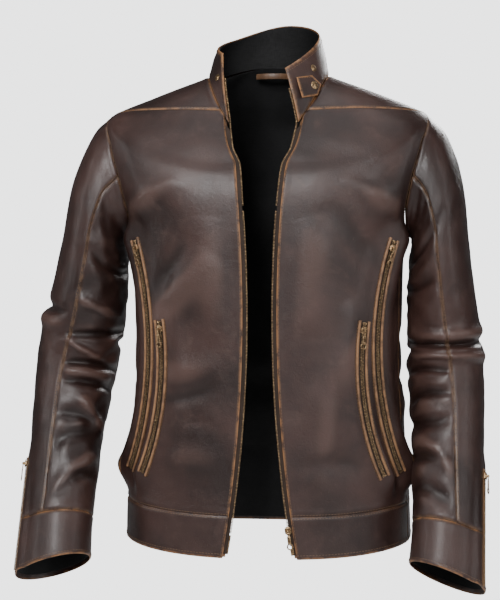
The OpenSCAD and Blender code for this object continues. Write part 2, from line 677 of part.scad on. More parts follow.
back_panel();
shoulder_yoke();
front_panel();  // front_panel_left
mirrored("right") front_panel();  // front_panel_right
side_panel();  // side_panel_left
mirrored("right") side_panel();  // side_panel_right
hem_band_back();
hem_band_front();  // hem_band_left
mirrored("right") hem_band_front();  // hem_band_right
collar_shell();
collar_lining();
front_facing();  // front_facing_left
mirrored("right") front_facing();  // front_facing_right
front_lining();  // front_lining_left
mirrored("right") front_lining();  // front_lining_right
back_lining();
hanger_loop();
pocket_bags();
pocket_welts();
pocket_zip_tapes();
pocket_zip_teeth();
front_zip_tape();  // front_zip_tape_left
mirrored("right") front_zip_tape();  // front_zip_tape_right
front_zip_teeth("left");  // front_zip_teeth_left
front_zip_teeth("right");  // front_zip_teeth_right
front_zip_box_and_pin();
snap_studs();
front_zip_slider();
front_zip_pull();
pocket_slider(chest_zip, "left");  // chest_zip_slider_left
pocket_pull(chest_zip, "left");  // chest_zip_pull_left
pocket_slider(chest_zip, "right");  // chest_zip_slider_right
pocket_pull(chest_zip, "right");  // chest_zip_pull_right
pocket_slider(hand_zip, "left");  // hand_zip_slider_left
pocket_pull(hand_zip, "left");  // hand_zip_pull_left
pocket_slider(hand_zip, "right");  // hand_zip_slider_right
pocket_pull(hand_zip, "right");  // hand_zip_pull_right
collar_tab();
collar_tab_snap();
upper_sleeve("left", outer_from, outer_to);  // upper_sleeve_outer_left
upper_sleeve("left", under_from, under_to);  // upper_sleeve_under_left
upper_sleeve_lining("left");  // upper_sleeve_lining_left
upper_sleeve("right", outer_from, outer_to);  // upper_sleeve_outer_right
upper_sleeve("right", under_from, under_to);  // upper_sleeve_under_right
upper_sleeve_lining("right");  // upper_sleeve_lining_right
lower_sleeve("left", outer_from, outer_to);  // lower_sleeve_outer_left
lower_sleeve("left", under_from, under_to);  // lower_sleeve_under_left
lower_sleeve_lining("left");  // lower_sleeve_lining_left
cuff("left");  // cuff_left
cuff_zip("left");  // cuff_zip_left
cuff_zip_slider("left");  // cuff_zip_slider_left
cuff_zip_pull("left");  // cuff_zip_pull_left
lower_sleeve("right", outer_from, outer_to);  // lower_sleeve_outer_right
lower_sleeve("right", under_from, under_to);  // lower_sleeve_under_right
lower_sleeve_lining("right");  // lower_sleeve_lining_right
cuff("right");  // cuff_right
cuff_zip("right");  // cuff_zip_right
cuff_zip_slider("right");  // cuff_zip_slider_right
cuff_zip_pull("right");  // cuff_zip_pull_right
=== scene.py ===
"""Looks of the leather riding jacket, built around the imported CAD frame.

Shapes are worked out in millimetres on the same surfaces as the CAD, and turned into metres in each mesh.
"""

import math

import bpy
import numpy as np
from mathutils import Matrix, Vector


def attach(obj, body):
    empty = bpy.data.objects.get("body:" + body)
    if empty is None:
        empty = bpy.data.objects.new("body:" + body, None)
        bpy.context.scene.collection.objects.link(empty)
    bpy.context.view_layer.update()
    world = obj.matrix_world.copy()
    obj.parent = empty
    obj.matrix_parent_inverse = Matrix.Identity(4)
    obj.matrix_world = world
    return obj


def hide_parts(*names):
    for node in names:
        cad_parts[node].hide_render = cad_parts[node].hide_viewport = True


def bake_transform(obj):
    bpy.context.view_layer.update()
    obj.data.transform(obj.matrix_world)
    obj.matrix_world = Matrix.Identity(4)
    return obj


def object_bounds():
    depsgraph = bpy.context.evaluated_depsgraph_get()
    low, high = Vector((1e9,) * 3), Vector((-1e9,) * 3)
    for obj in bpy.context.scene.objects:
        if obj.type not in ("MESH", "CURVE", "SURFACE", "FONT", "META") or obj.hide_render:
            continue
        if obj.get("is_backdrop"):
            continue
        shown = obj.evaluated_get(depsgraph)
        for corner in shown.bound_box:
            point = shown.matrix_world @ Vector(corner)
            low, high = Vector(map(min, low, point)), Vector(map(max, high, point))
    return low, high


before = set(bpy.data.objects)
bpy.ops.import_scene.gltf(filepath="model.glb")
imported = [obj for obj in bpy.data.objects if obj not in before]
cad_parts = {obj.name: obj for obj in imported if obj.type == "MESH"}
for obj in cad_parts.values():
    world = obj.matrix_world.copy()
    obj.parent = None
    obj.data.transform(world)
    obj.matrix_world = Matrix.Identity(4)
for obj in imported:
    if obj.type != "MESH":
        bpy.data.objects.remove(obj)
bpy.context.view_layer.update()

MM = 0.001
SIDES = ("left", "right")

# ---- Driving sizes, as in the CAD ----
BODY_LENGTH = 660
HEM_HALF = 202
WAIST_HALF = 188
CHEST_HALF = 194
SHOULDER_HALF = 228
FRONT_DEPTH = 125
BACK_DEPTH = 128
NECK_HALF = 84
FRONT_GAP = 17
FRONT_ARC_R = 1945
LEATHER_T = 1.6
LINING_T = 0.8
COLLAR_HEIGHT = 57
RIGHT_SPREAD = 5

# Rings of the body from the hem to the neck seam:
# half width, front depth, back depth, height at the side, front and back, squareness
BODY_RINGS = np.array([
    [HEM_HALF, FRONT_DEPTH, BACK_DEPTH - 10, 12, 0, 8, 2.6],
    [HEM_HALF - 2, FRONT_DEPTH, BACK_DEPTH - 10, 68, 58, 66, 2.6],
    [WAIST_HALF + 5, FRONT_DEPTH, BACK_DEPTH - 16, 150, 145, 150, 2.5],
    [WAIST_HALF, FRONT_DEPTH, BACK_DEPTH - 23, 270, 265, 270, 2.5],
    [WAIST_HALF + 1, FRONT_DEPTH, BACK_DEPTH - 16, 370, 365, 372, 2.6],
    [CHEST_HALF, FRONT_DEPTH, BACK_DEPTH - 6, 450, 440, 455, 2.8],
    [SHOULDER_HALF - 16, FRONT_DEPTH - 3, BACK_DEPTH, 510, 488, 525, 3.0],
    [SHOULDER_HALF, FRONT_DEPTH - 10, BACK_DEPTH - 10, 570, 518, 590, 2.9],
    [SHOULDER_HALF - 4, FRONT_DEPTH - 19, BACK_DEPTH - 30, 603, 535, 628, 2.7],
    [NECK_HALF + 76, FRONT_DEPTH - 25, BACK_DEPTH - 44, 632, 548, 656, 2.4],
    [NECK_HALF, FRONT_DEPTH - 33, BACK_DEPTH - 60, 660, 560, 682, 2.0],
])
BAND_ROW = 1
NECK_ROW = 10
YOKE_ROW = 7.2
ARM_ROW = 6.5
ARM_ROWS = 1.6
ARM_TOP = ARM_ROW + ARM_ROWS
ARM_FRONT = 25
ARM_BACK = 30
SIDE_FRONT = -ARM_FRONT * math.sin(math.radians(150))
SIDE_BACK = ARM_BACK * math.sin(math.radians(135))
YOKE_CURVE = 0.6
YOKE_REACH = -45
FRONT_LOW = 330
COLLAR_OPEN = 520
LEATHER_EDGE = 6

# Rings of the left sleeve, from the head down; the armhole is ring 0:
# outer x and height, inner x and height, middle y, half depth, forward tilt
SLEEVE_RINGS = np.array([
    [248, 578, 200, 430, 0, 72, 0],
    [272, 512, 198, 402, 0, 76, 0],
    [281, 430, 196, 376, 0, 75, 0],
    [290, 358, 195, 337, 1, 71, 0],
    [299, 298, 195, 288, 4, 66, 0],
    [303, 246, 196, 246, 2, 63, 12],
    [304, 188, 200, 190, -15, 59, 20],
    [302, 116, 203, 124, -43, 55, 24],
    [301, 28, 205, 48, -80, 52, 25],
    [304, -42, 201, -4, -108, 52, 25],
], float)
SPREAD_SHARE = [0, 0.6, 0.75, 0.9, 1, 1.08, 1.05, 0.92, 0.8, 0.7, 0.66]
INNER_SHARE = [1, 0.5, 0.5, 0.5, 0.5, 0.6, 0.75, 0.9, 1, 1, 1]
SHOULDER_PIVOT = np.array([222.0, 0, 606])
CUFF_ROW = 9
LAST_ROW = 10
CUFF_ZIP_TOP = (-14, 8.05)
CUFF_ZIP_LOW = (-26, 9.96)
SPLIT_ROW = 4.3  # where the upper and lower sleeve meshes join, out of sight
ROW_MM = 66  # usual length of one sleeve row
TURN_MM = 1.13  # usual length of one degree round a sleeve
BODY_TURN_MM = 3.4  # usual length of one degree round the body


# ---- Curves and surfaces ----
def smooth(low, high, x):
    """0 below low, 1 above high, and a soft step between them."""
    t = np.clip((np.asarray(x, float) - low) / (high - low), 0, 1)
    return t * t * (3 - 2 * t)


def unit(v):
    return v / np.maximum(np.linalg.norm(v, axis=-1, keepdims=True), 1e-9)


def spline_weights(n, t):
    """Catmull-Rom rows and weights at places t of a table with n + 1 rows."""
    t = np.clip(np.asarray(t, float), 0, n)
    i = np.minimum(t.astype(int), n - 1)
    f = t - i
    w0 = 0.5 * (-f + 2 * f**2 - f**3)
    w1 = 0.5 * (2 - 5 * f**2 + 3 * f**3)
    w2 = 0.5 * (f + 4 * f**2 - 3 * f**3)
    w3 = 0.5 * (f**3 - f**2)
    return i, (w0, w1, w2, w3)


def extended(rows):
    """The table with one more row at each end, which carries the end's own step on."""
    return np.concatenate([2 * rows[:1] - rows[1:2], rows, 2 * rows[-1:] - rows[-2:-1]])


def spline(rows, t):
    """Catmull-Rom curve through the rows of a table, at an array of places."""
    rows = np.asarray(rows, float)
    i, w = spline_weights(len(rows) - 1, t)
    more = extended(rows)
    return sum(more[i + j] * w[j][..., None] for j in range(4))


def signed_pow(x, e):
    return np.sign(x) * np.abs(x) ** e


def body_skin(a, v):
    """The body's skin. Angle a: 0 wearer's left, 90 back, -90 front. Row v: 0 hem, 10 neck seam."""
    r = spline(BODY_RINGS, v)
    e = 2 / r[..., 6]
    c, s = np.cos(np.radians(a)), np.sin(np.radians(a))
    depth = np.where(s < 0, r[..., 1], r[..., 2])
    end = np.where(s < 0, r[..., 4], r[..., 5])
    x = r[..., 0] * signed_pow(c, e)
    z = r[..., 3] + (end - r[..., 3]) * s * s - BODY_LENGTH
    return np.stack([x, depth * signed_pow(s, e), z], -1)


def body_normal(a, v):
    across = body_skin(a + 0.5, v) - body_skin(a - 0.5, v)
    up = body_skin(a, np.minimum(v + 0.02, NECK_ROW)) - body_skin(a, np.maximum(v - 0.02, 0))
    return unit(np.cross(across, up))


def half_gap(h):
    opened = 0.003 * np.maximum(0, h - COLLAR_OPEN) ** 2
    return FRONT_GAP + (h - FRONT_LOW) ** 2 / (2 * FRONT_ARC_R) + opened


def edge_angle(v, inset=0.0):
    """Angle of the left front edge at a row, moved back by an inset."""
    v = np.asarray(v, float)
    r = spline(BODY_RINGS, v)
    height = r[..., 4] + np.where(v > 8, (v - 8) * 14, 0)
    share = (half_gap(height) + inset) / r[..., 0]
    return -np.degrees(np.arccos(share ** (r[..., 6] / 2)))


def arm_share(v):
    return np.sqrt(np.maximum(0, 1 - ((v - ARM_ROW) / ARM_ROWS) ** 2))


def yoke_seam(v):
    return YOKE_REACH * (np.maximum(0, v - ARM_TOP) / (NECK_ROW - ARM_TOP)) ** YOKE_CURVE


def front_side(v):
    low = np.minimum(SIDE_FRONT, -ARM_FRONT * arm_share(v))
    return np.where(v < ARM_ROW, low, np.where(v < ARM_TOP, -ARM_FRONT * arm_share(v), yoke_seam(v)))


def back_side(v):
    low = np.maximum(SIDE_BACK, ARM_BACK * arm_share(v))
    return np.where(v < ARM_ROW, low, ARM_BACK * arm_share(v))


def arm_floor(a):
    reach = np.where(a < 0, ARM_FRONT, ARM_BACK)
    return ARM_ROW - ARM_ROWS * np.sqrt(np.maximum(0, 1 - (a / reach) ** 2))


# ---- Arcs of the zips ----
ZIP_LIFT = 4.8


def arc_through(top, mid, low, outward):
    """An arc as a dict: centre, radius, frame e1 e2 n, and the angles of its two ends."""
    u, w = top - mid, low - mid
    m = np.cross(u, w)
    centre = mid + (np.cross(m, u) * (w @ w) + np.cross(w, m) * (u @ u)) / (2 * (m @ m))
    n = unit(m) * np.sign(m @ outward)
    e1 = unit(mid - centre)
    e2 = np.cross(n, e1)
    turn = lambda p: math.degrees(math.atan2((p - centre) @ e2, (p - centre) @ e1))
    radius = float(np.linalg.norm(centre - mid))
    return {"c": centre, "r": radius, "e1": e1, "e2": e2, "n": n, "from": turn(top), "to": turn(low)}


def zip_on_body(p, q, r):
    spots = [body_skin(*np.array(s, float)) + ZIP_LIFT * body_normal(*np.array(s, float)) for s in (p, q, r)]
    return arc_through(*spots, body_normal(*np.array(q, float)))


CHEST_ZIP = zip_on_body((-28.5, 4.75), (-38, 3.6), (-22, 1.6))
HAND_ZIP = zip_on_body((-47.6, 3.5), (-48.4, 2.65), (-37.2, 1.6))
FRONT_ARC_TOP = 470
FRONT_ZIP = {
    "c": np.array([FRONT_GAP + FRONT_ARC_R, -(FRONT_DEPTH - 2.8), FRONT_LOW - BODY_LENGTH]),
    "r": FRONT_ARC_R, "e1": np.array([-1.0, 0, 0]), "e2": np.array([0, 0, -1.0]), "n": np.array([0, -1.0, 0]),
    "from": -math.degrees(math.asin((FRONT_ARC_TOP - FRONT_LOW) / FRONT_ARC_R)),
    "to": math.degrees(math.asin((FRONT_LOW - 6) / FRONT_ARC_R)),
}


def on_arc(arc, phi):
    """Points of an arc, with the directions away from its centre, along it and out of the surface."""
    phi = np.radians(np.atleast_1d(phi))[:, None]
    x = arc["e1"] * np.cos(phi) + arc["e2"] * np.sin(phi)
    y = arc["e2"] * np.cos(phi) - arc["e1"] * np.sin(phi)
    z = np.broadcast_to(arc["n"], x.shape)
    return arc["c"] + arc["r"] * x, x, y, z


def arc_turn(arc, length):
    return math.degrees(length / arc["r"])


# ---- Folds ----
def fold_heights(x, y, folds, period):
    """Height of soft folds on a chart in mm. A fold: start, middle, end, width, height, lean."""
    total = np.zeros(np.broadcast(x, y).shape)
    for start, middle, end, width, height, lean in folds:
        u = np.linspace(0, 1, 11)[:, None]
        line = (1 - u) ** 2 * np.array(start) + 2 * u * (1 - u) * np.array(middle) + u**2 * np.array(end)
        here = (x - middle[0] + period / 2) % period - period / 2 + middle[0]
        best = np.full(total.shape, 1e9)
        signed = np.zeros(total.shape)
        along = np.zeros(total.shape)
        for i in range(len(line) - 1):
            p, d = line[i], line[i + 1] - line[i]
            t = np.clip(((here - p[0]) * d[0] + (y - p[1]) * d[1]) / (d @ d), 0, 1)
            gx, gy = here - p[0] - t * d[0], y - p[1] - t * d[1]
            far = np.hypot(gx, gy)
            closer = far < best
            best = np.where(closer, far, best)
            signed = np.where(closer, np.sign(d[0] * gy - d[1] * gx) * far, signed)
            along = np.where(closer, (i + t) / (len(line) - 1), along)
        wide = width * np.where(signed > 0, 1 + lean, 1 - lean)
        total += height * np.exp(-((signed / wide) ** 2)) * np.sin(np.pi * along) ** 0.7
    return total


def ripple(x, y, seed, count, low, high):
    """Gentle unevenness: a few crossing waves with wavelengths from low to high, about 1 high in all."""
    draw = np.random.default_rng(seed)
    total = np.zeros(np.broadcast(x, y).shape)
    for _ in range(count):
        turn = draw.uniform(0, math.pi)
        k = 2 * math.pi / draw.uniform(low, high)
        total += np.sin(k * (x * math.cos(turn) + y * math.sin(turn)) + draw.uniform(0, 6.28))
    return total / math.sqrt(count)


def front_spot(x, h):
    """Chart place of a point on the front at distance x from the middle and height h."""
    v = np.interp(h, BODY_RINGS[:, 4], np.arange(11))
    r = spline(BODY_RINGS, v)
    a = -math.degrees(math.acos((abs(x) / r[0]) ** (r[6] / 2)))
    if x < 0:
        a = -180 - a
    return (a * BODY_TURN_MM, float(r[3]))


def side_spot(a, h):
    return (a * BODY_TURN_MM, h)


FRONT_FOLDS = [
    ((-158, 226), (-112, 196), (-56, 236), 8, -4.2, 0.3),
    ((-150, 262), (-100, 236), (-52, 268), 17, 3.4, 0),
    ((-110, 182), (-90, 192), (-66, 180), 6, -1.8, 0),
    ((-158, 318), (-118, 336), (-66, 410), 22, 4.5, -0.2),
    ((-158, 352), (-128, 372), (-96, 440), 13, -3.6, 0),
    ((-140, 120), (-100, 150), (-48, 130), 16, 2.2, 0),
    ((-70, 460), (-62, 380), (-70, 300), 22, 2.5, 0),
    ((158, 318), (124, 300), (96, 226), 22, 3, 0.2),
    ((165, 392), (124, 412), (84, 478), 20, -3.2, 0),
    ((150, 112), (110, 146), (52, 126), 13, -2.4, 0.2),
    ((72, 100), (104, 168), (88, 236), 20, 2.6, 0),
    ((60, 300), (74, 380), (66, 460), 26, 3, 0),
    ((196, 452), (150, 462), (112, 508), 15, 3.4, 0.2),
    ((-196, 452), (-150, 462), (-112, 508), 15, 3.4, -0.2),
]
AROUND_FOLDS = [
    ((-14, 232), (6, 244), (34, 226), 9, -3.6, 0.2),
    ((-12, 196), (14, 206), (40, 190), 13, 3.2, 0),
    ((-12, 300), (10, 286), (30, 306), 12, -2.8, 0),
    ((-10, 130), (16, 142), (44, 128), 12, -2.6, 0),
    ((146, 236), (172, 226), (196, 240), 9, -3.6, 0.2),
    ((142, 190), (168, 204), (192, 196), 13, 3.2, 0),
    ((150, 306), (170, 288), (194, 300), 12, -2.8, 0),
    ((140, 126), (168, 140), (190, 128), 12, -2.6, 0),
    ((54, 262), (88, 240), (124, 258), 12, -4.4, 0.2),
    ((50, 218), (92, 206), (134, 222), 17, 3.6, 0),
    ((58, 176), (86, 186), (112, 172), 12, -3, 0),
    ((46, 440), (62, 372), (80, 318), 20, -4, 0.2),
    ((134, 440), (118, 372), (100, 318), 20, -4, -0.2),
    ((66, 500), (90, 470), (114, 500), 24, 3, 0),
    ((88, 430), (90, 370), (91, 300), 22, 3.4, 0),
    ((70, 110), (96, 128), (126, 108), 15, 2.4, 0),
]


class Body:
    """The body's surface with its folds. Places on it are an angle and a row."""

    folds = [(front_spot(*f[0]), front_spot(*f[1]), front_spot(*f[2]), *f[3:]) for f in FRONT_FOLDS]
    folds += [(side_spot(*f[0]), side_spot(*f[1]), side_spot(*f[2]), *f[3:]) for f in AROUND_FOLDS]

    def height(self, a, v):
        """Folds and unevenness, which fade at the armholes, the neck, the hem and the front edges."""
        x, y = a * BODY_TURN_MM, spline(BODY_RINGS, v)[..., 3]
        raw = 1.1 * fold_heights(x, y, self.folds, 360 * BODY_TURN_MM) + 0.55 * ripple(x, y, 11, 9, 60, 190)
        near = np.abs((a + 90) % 360 - 90)
        side = np.minimum(near, np.abs(180 - near))
        ring = np.hypot(side / 27, (v - ARM_ROW) / ARM_ROWS)
        front = np.abs((a + 270) % 360 - 180)
        edge = np.abs(front - (90 + edge_angle(v)))
        fade = smooth(1.0, 1.35, ring) * smooth(NECK_ROW, 8.6, v) * smooth(-0.3, 1.2, v)
        return raw * fade * smooth(1, 9, np.where(front < 90, edge, 99))

    def seated(self, p, n):
        """How far the skin moves along its normal, so that the pocket zips lie in it."""
        closest = np.zeros(p.shape[:-1])
        total, weights = closest.copy(), closest + 1e-9
        for arc in (CHEST_ZIP, HAND_ZIP):
            for flip in (1, -1):
                q = p * np.array([flip, 1, 1]) - arc["c"]
                m = n * np.array([flip, 1, 1])
                x, y, z = q @ arc["e1"], q @ arc["e2"], q @ arc["n"]
                turn = np.degrees(np.arctan2(y, x))
                past_end = np.maximum(0, np.maximum(arc["from"] - turn, turn - arc["to"]))
                over = past_end * math.pi / 180 * arc["r"]
                far = np.hypot(np.hypot(x, y) - arc["r"], np.maximum(0, over - 4))
                facing = m @ arc["n"]
                near = smooth(40, 12, far) * (np.abs(z) < 30) * (facing > 0.4)
                weight = near / (1 + np.maximum(0, far - 10)) ** 3
                total += weight * (-1.2 - z) / np.maximum(facing, 0.4)
                weights += weight
                closest = np.maximum(closest, near)
        return closest * total / weights

    def at(self, a, v, lift):
        p, n = body_skin(a, v), body_normal(a, v)
        p = p + n * self.height(a, v)[..., None]
        return p + n * (self.seated(p, n) + lift)[..., None]

    def ridge(self, a, v):
        return np.clip(self.height(a, v) / 4, -1, 1)


# Folds of each sleeve: (turn, row) of start, middle and end, width, height, lean
SLEEVE_FOLDS = {
    "left": [
        ((20, 5.15), (-70, 5.3), (-185, 5.0), 6, -8, 0.35),
        ((10, 4.85), (-60, 4.95), (-150, 4.7), 10, 5, 0),
        ((24, 5.55), (-60, 5.68), (-170, 5.5), 11, 4.5, 0),
        ((-84, 6.2), (-120, 6.0), (-190, 6.15), 7, -5.5, 0.2),
        ((-82, 6.78), (-120, 6.65), (-185, 6.9), 7, -5, 0.2),
        ((-82, 7.3), (-130, 7.5), (-200, 7.2), 8, -5, -0.2),
        ((-80, 8.35), (-110, 7.75), (-160, 7.7), 8, 4.5, 0),
        ((-84, 8.0), (-130, 8.1), (-195, 7.9), 7, -4.5, 0.2),
        ((-82, 8.75), (-120, 8.45), (-180, 8.5), 7, -4, 0),
        ((-90, 3.3), (-130, 3.6), (-190, 3.4), 12, -4, 0),
        ((-70, 2.0), (-120, 2.4), (-190, 2.1), 16, -3.5, 0),
        ((120, 5.3), (160, 5.5), (200, 5.2), 9, -6, 0.2),
        ((60, 5.7), (95, 5.5), (150, 5.9), 10, 4, 0),
        ((70, 6.5), (120, 6.4), (170, 6.7), 9, -4, 0),
        ((80, 7.3), (130, 7.5), (180, 7.2), 9, -4, 0),
        ((40, 4.2), (80, 4.4), (130, 4.2), 12, -4, 0),
    ],
    "right": [
        ((25, 4.42), (-20, 4.5), (-76, 4.42), 7, -6, 0.3),
        ((20, 4.72), (-30, 4.78), (-80, 4.7), 11, 4, 0),
        ((-78, 4.95), (-125, 4.9), (-195, 4.75), 7, -7, 0.3),
        ((-80, 5.05), (-112, 5.5), (-140, 5.95), 8, 5, -0.2),
        ((-82, 6.1), (-130, 6.0), (-195, 6.1), 7, -6.5, 0.3),
        ((-84, 6.35), (-120, 6.35), (-170, 6.35), 10, 4.5, 0),
        ((-84, 6.62), (-130, 6.55), (-195, 6.6), 7, -5.5, 0.2),
        ((-80, 7.42), (-120, 7.3), (-150, 7.45), 7, -5, 0.3),
        ((-118, 6.9), (-125, 7.25), (-175, 7.55), 8, 4.5, 0),
        ((-80, 7.95), (-110, 7.7), (-170, 7.6), 7, -4.5, 0),
        ((-84, 8.8), (-120, 8.25), (-175, 8.0), 8, 4.5, 0.2),
        ((-100, 8.45), (-140, 8.4), (-180, 8.35), 6, -4, 0),
        ((-82, 3.95), (-120, 4.15), (-165, 4.35), 9, 4, 0),
        ((-90, 2.6), (-130, 2.9), (-190, 2.7), 14, -3.5, 0),
        ((110, 5.1), (150, 5.3), (195, 5.0), 9, -6, 0.2),
        ((60, 5.6), (100, 5.45), (150, 5.8), 10, 4, 0),
        ((70, 6.6), (120, 6.4), (170, 6.6), 9, -4, 0),
        ((80, 7.5), (130, 7.3), (180, 7.4), 9, -4, 0),
        ((50, 4.1), (90, 4.3), (140, 4.1), 12, -4, 0),
    ],
}


class Sleeve:
    """One sleeve's surface with its folds. Places on it are a turn b and a row k; b: 0 outside, 90 back."""

    rows = 106  # of the grid that holds the folds, from row 0 to row 9
    cols = 72

    def __init__(self, side):
        self.side = side
        self.spread = RIGHT_SPREAD if side == "right" else 0
        self.mirror = np.array([-1.0 if side == "right" else 1.0, 1, 1])
        self.k = np.linspace(0, CUFF_ROW, self.rows)[:, None]
        self.b = np.linspace(0, 360, self.cols, endpoint=False)[None, :]
        self.offset = np.zeros((self.rows, self.cols, 3))
        self.height = np.zeros((self.rows, self.cols))
        self.zip_frame = self.cuff_zip()

    def ring(self, b, k):
        """A ring of the table at turns b, spread about the shoulder."""
        if k == 0:
            reach = np.where(np.sin(np.radians(b)) > 0, ARM_BACK, ARM_FRONT)
            p = body_skin(reach * np.sin(np.radians(b)), ARM_ROW + ARM_ROWS * np.cos(np.radians(b)))
            return p + np.array([0, 0, BODY_LENGTH])
        r = SLEEVE_RINGS[k - 1]
        c, s = np.cos(np.radians(b))[..., None], np.sin(np.radians(b))[..., None]
        middle = np.array([(r[0] + r[2]) / 2, r[4], (r[1] + r[3]) / 2])
        wide = np.array([(r[0] - r[2]) / 2, 0, (r[1] - r[3]) / 2])
        deep = np.array([0, math.cos(math.radians(r[6])), -math.sin(math.radians(r[6]))]) * r[5]
        share = SPREAD_SHARE[k] * (1 + (INNER_SHARE[k] - 1) * (1 - c[..., 0]) / 2)
        turn = np.radians(self.spread * share)
        q = middle + wide * c + deep * s - SHOULDER_PIVOT
        x = q[..., 0] * np.cos(turn) - q[..., 2] * np.sin(turn)
        z = q[..., 0] * np.sin(turn) + q[..., 2] * np.cos(turn)
        return np.stack([x, q[..., 1], z], -1) + SHOULDER_PIVOT

    def bare(self, b, k):
        """The sleeve without folds, as the CAD has it, on the wearer's left."""
        b, k = np.broadcast_arrays(np.asarray(b, float), np.asarray(k, float))
        rings = extended(np.stack([self.ring(b, i) for i in range(LAST_ROW + 1)]))
        i, w = spline_weights(LAST_ROW, k)
        spots = np.indices(b.shape)
        total = sum(rings[(i + j, *spots)] * w[j][..., None] for j in range(4))
        return total - np.array([0, 0, BODY_LENGTH])

    def sampled(self, field, b, k):
        """A field of the fold grid at any place: cubic along rows, cubic and closed round the sleeve."""
        b, k = np.broadcast_arrays(np.asarray(b, float), np.asarray(k, float))
        i, wi = spline_weights(self.rows - 1, k / CUFF_ROW * (self.rows - 1))
        t = (b % 360) / 360 * self.cols
        j = t.astype(int)
        f = t - j
        _, wj = spline_weights(1, f)
        more = np.concatenate([field[:1], field, field[-1:]])
        tail = (1,) * (field.ndim - 2)
        total = 0
        for m in range(4):
            for n in range(4):
                w = (wi[m] * wj[n]).reshape(b.shape + tail)
                total = total + more[i + m, (j + n - 1) % self.cols] * w
        return total

    def pushed(self, b, k):
        return self.bare(b, k) + self.sampled(self.offset, b, k)

    def at(self, b, k, lift):
        b, k = np.broadcast_arrays(np.asarray(b, float), np.asarray(k, float))
        p = self.pushed(b, k)
        along = self.pushed(b, np.minimum(k + 0.04, LAST_ROW)) - self.pushed(b, np.maximum(k - 0.04, 0))
        n = unit(np.cross(along, self.pushed(b + 2, k) - self.pushed(b - 2, k)))
        return (p + n * (self.seated(p, n) + np.asarray(lift))[..., None]) * self.mirror

    def seated(self, p, n):
        """How far the skin moves along its normal, so that the cuff zip lies on it."""
        origin, across, down, out, long = self.zip_frame
        q = p - origin
        x, y, z = q @ across, q @ down, q @ out
        facing = n @ out
        near = smooth(24, 8, np.abs(x)) * smooth(-34, -4, y) * (y < long + 12)
        near = near * (facing > 0.4) * (np.abs(z) < 20)
        return near * (-1.3 - z) / np.maximum(facing, 0.4)

    def cuff_zip(self):
        """Frame of the straight cuff zip: origin, across, along, out, and its length."""
        p, q = self.bare(*CUFF_ZIP_TOP), self.bare(*CUFF_ZIP_LOW)
        p, q = [s + 2.8 * unit(s - self.middle(k)) for s, k in ((p, CUFF_ZIP_TOP[1]), (q, CUFF_ZIP_LOW[1]))]
        y = unit(q - p)
        out = self.bare(-20, 9) - self.middle(9)
        x = unit(np.cross(y, out))
        return p, x, y, np.cross(x, y), float(np.linalg.norm(q - p))

    def middle(self, k):
        return (self.bare(0, k) + self.bare(180, k)) / 2

    def ridge(self, b, k):
        return np.clip(self.sampled(self.height, b, k) / 3.5, -1, 1) * (k <= CUFF_ROW)


def front_seam(k):
    return -100 + 28 * k / LAST_ROW


BACK_SEAM = 90


# ---- Cloth simulation of the sleeves ----
SIM_FRAMES = 34


def underness(b, k):
    """1 on the under panel of a sleeve, 0 on its outer panel."""
    turn = (b + 270) % 360  # 0 at the back seam
    last = front_seam(k) + 270
    return smooth(-6, 14, turn) * smooth(last + 6, last - 14, turn)


def slack(b, k):
    """How much longer the leather is than the sleeve's straight line, as a share."""
    zone = smooth(4.2, 5.4, k) * smooth(8.95, 8.2, k)
    arm = smooth(0.4, 1.6, k) * smooth(5.2, 4.2, k)
    under = underness(b, k)
    return zone * (0.07 + 0.15 * under) + arm * (0.02 + 0.06 * under)


def tube_faces(rows, cols):
    i, j = np.meshgrid(np.arange(rows - 1), np.arange(cols), indexing="ij")
    p, q = i * cols + j, i * cols + (j + 1) % cols
    return np.stack([p, q, q + cols, p + cols], -1).reshape(-1, 4)


def crumpled(sleeve, start, smooth_points):
    """The start shape after a cloth simulation in which the leather is longer than the sleeve."""
    rows, cols = sleeve.rows, sleeve.cols
    mesh = bpy.data.meshes.new("crumple_" + sleeve.side)
    mesh.from_pydata((start.reshape(-1, 3) * MM).tolist(), [], tube_faces(rows, cols).tolist())
    cloth_object = bpy.data.objects.new("crumple_" + sleeve.side, mesh)
    bpy.context.scene.collection.objects.link(cloth_object)
    step = np.diff(smooth_points, axis=0) * (1 + slack(sleeve.b, sleeve.k[:-1]))[..., None]
    longer = np.concatenate([smooth_points[:1], smooth_points[:1] + np.cumsum(step, axis=0)])
    cloth_object.shape_key_add(name="Basis")
    rest = cloth_object.shape_key_add(name="rest")
    rest.data.foreach_set("co", (longer.reshape(-1) * MM).astype(np.float32))
    held = cloth_object.vertex_groups.new(name="held")
    ends = [*range(cols * 2), *range((rows - 2) * cols, rows * cols)]
    held.add(ends, 1.0, "REPLACE")
    cloth = cloth_object.modifiers.new("Cloth", "CLOTH")
    s = cloth.settings
    s.quality = 7
    s.mass = 0.4
    s.air_damping = 3
    s.tension_stiffness = 60
    s.compression_stiffness = 60
    s.shear_stiffness = 30
    s.bending_stiffness = 30
    s.tension_damping = 20
    s.compression_damping = 20
    s.shear_damping = 20
    s.vertex_group_mass = "held"
    s.pin_stiffness = 10
    s.rest_shape_key = rest
    s.effector_weights.gravity = 0
    cloth.collision_settings.use_collision = False
    cloth.point_cache.frame_start = 1
    cloth.point_cache.frame_end = SIM_FRAMES
    scene = bpy.context.scene
    for f in range(1, SIM_FRAMES + 1):
        scene.frame_set(f)
    shaped = cloth_object.evaluated_get(bpy.context.evaluated_depsgraph_get()).to_mesh()
    points = np.zeros(rows * cols * 3)
    shaped.vertices.foreach_get("co", points)
    bpy.data.objects.remove(cloth_object)
    bpy.data.meshes.remove(mesh)
    scene.frame_set(1)
    return points.reshape(rows, cols, 3) / MM


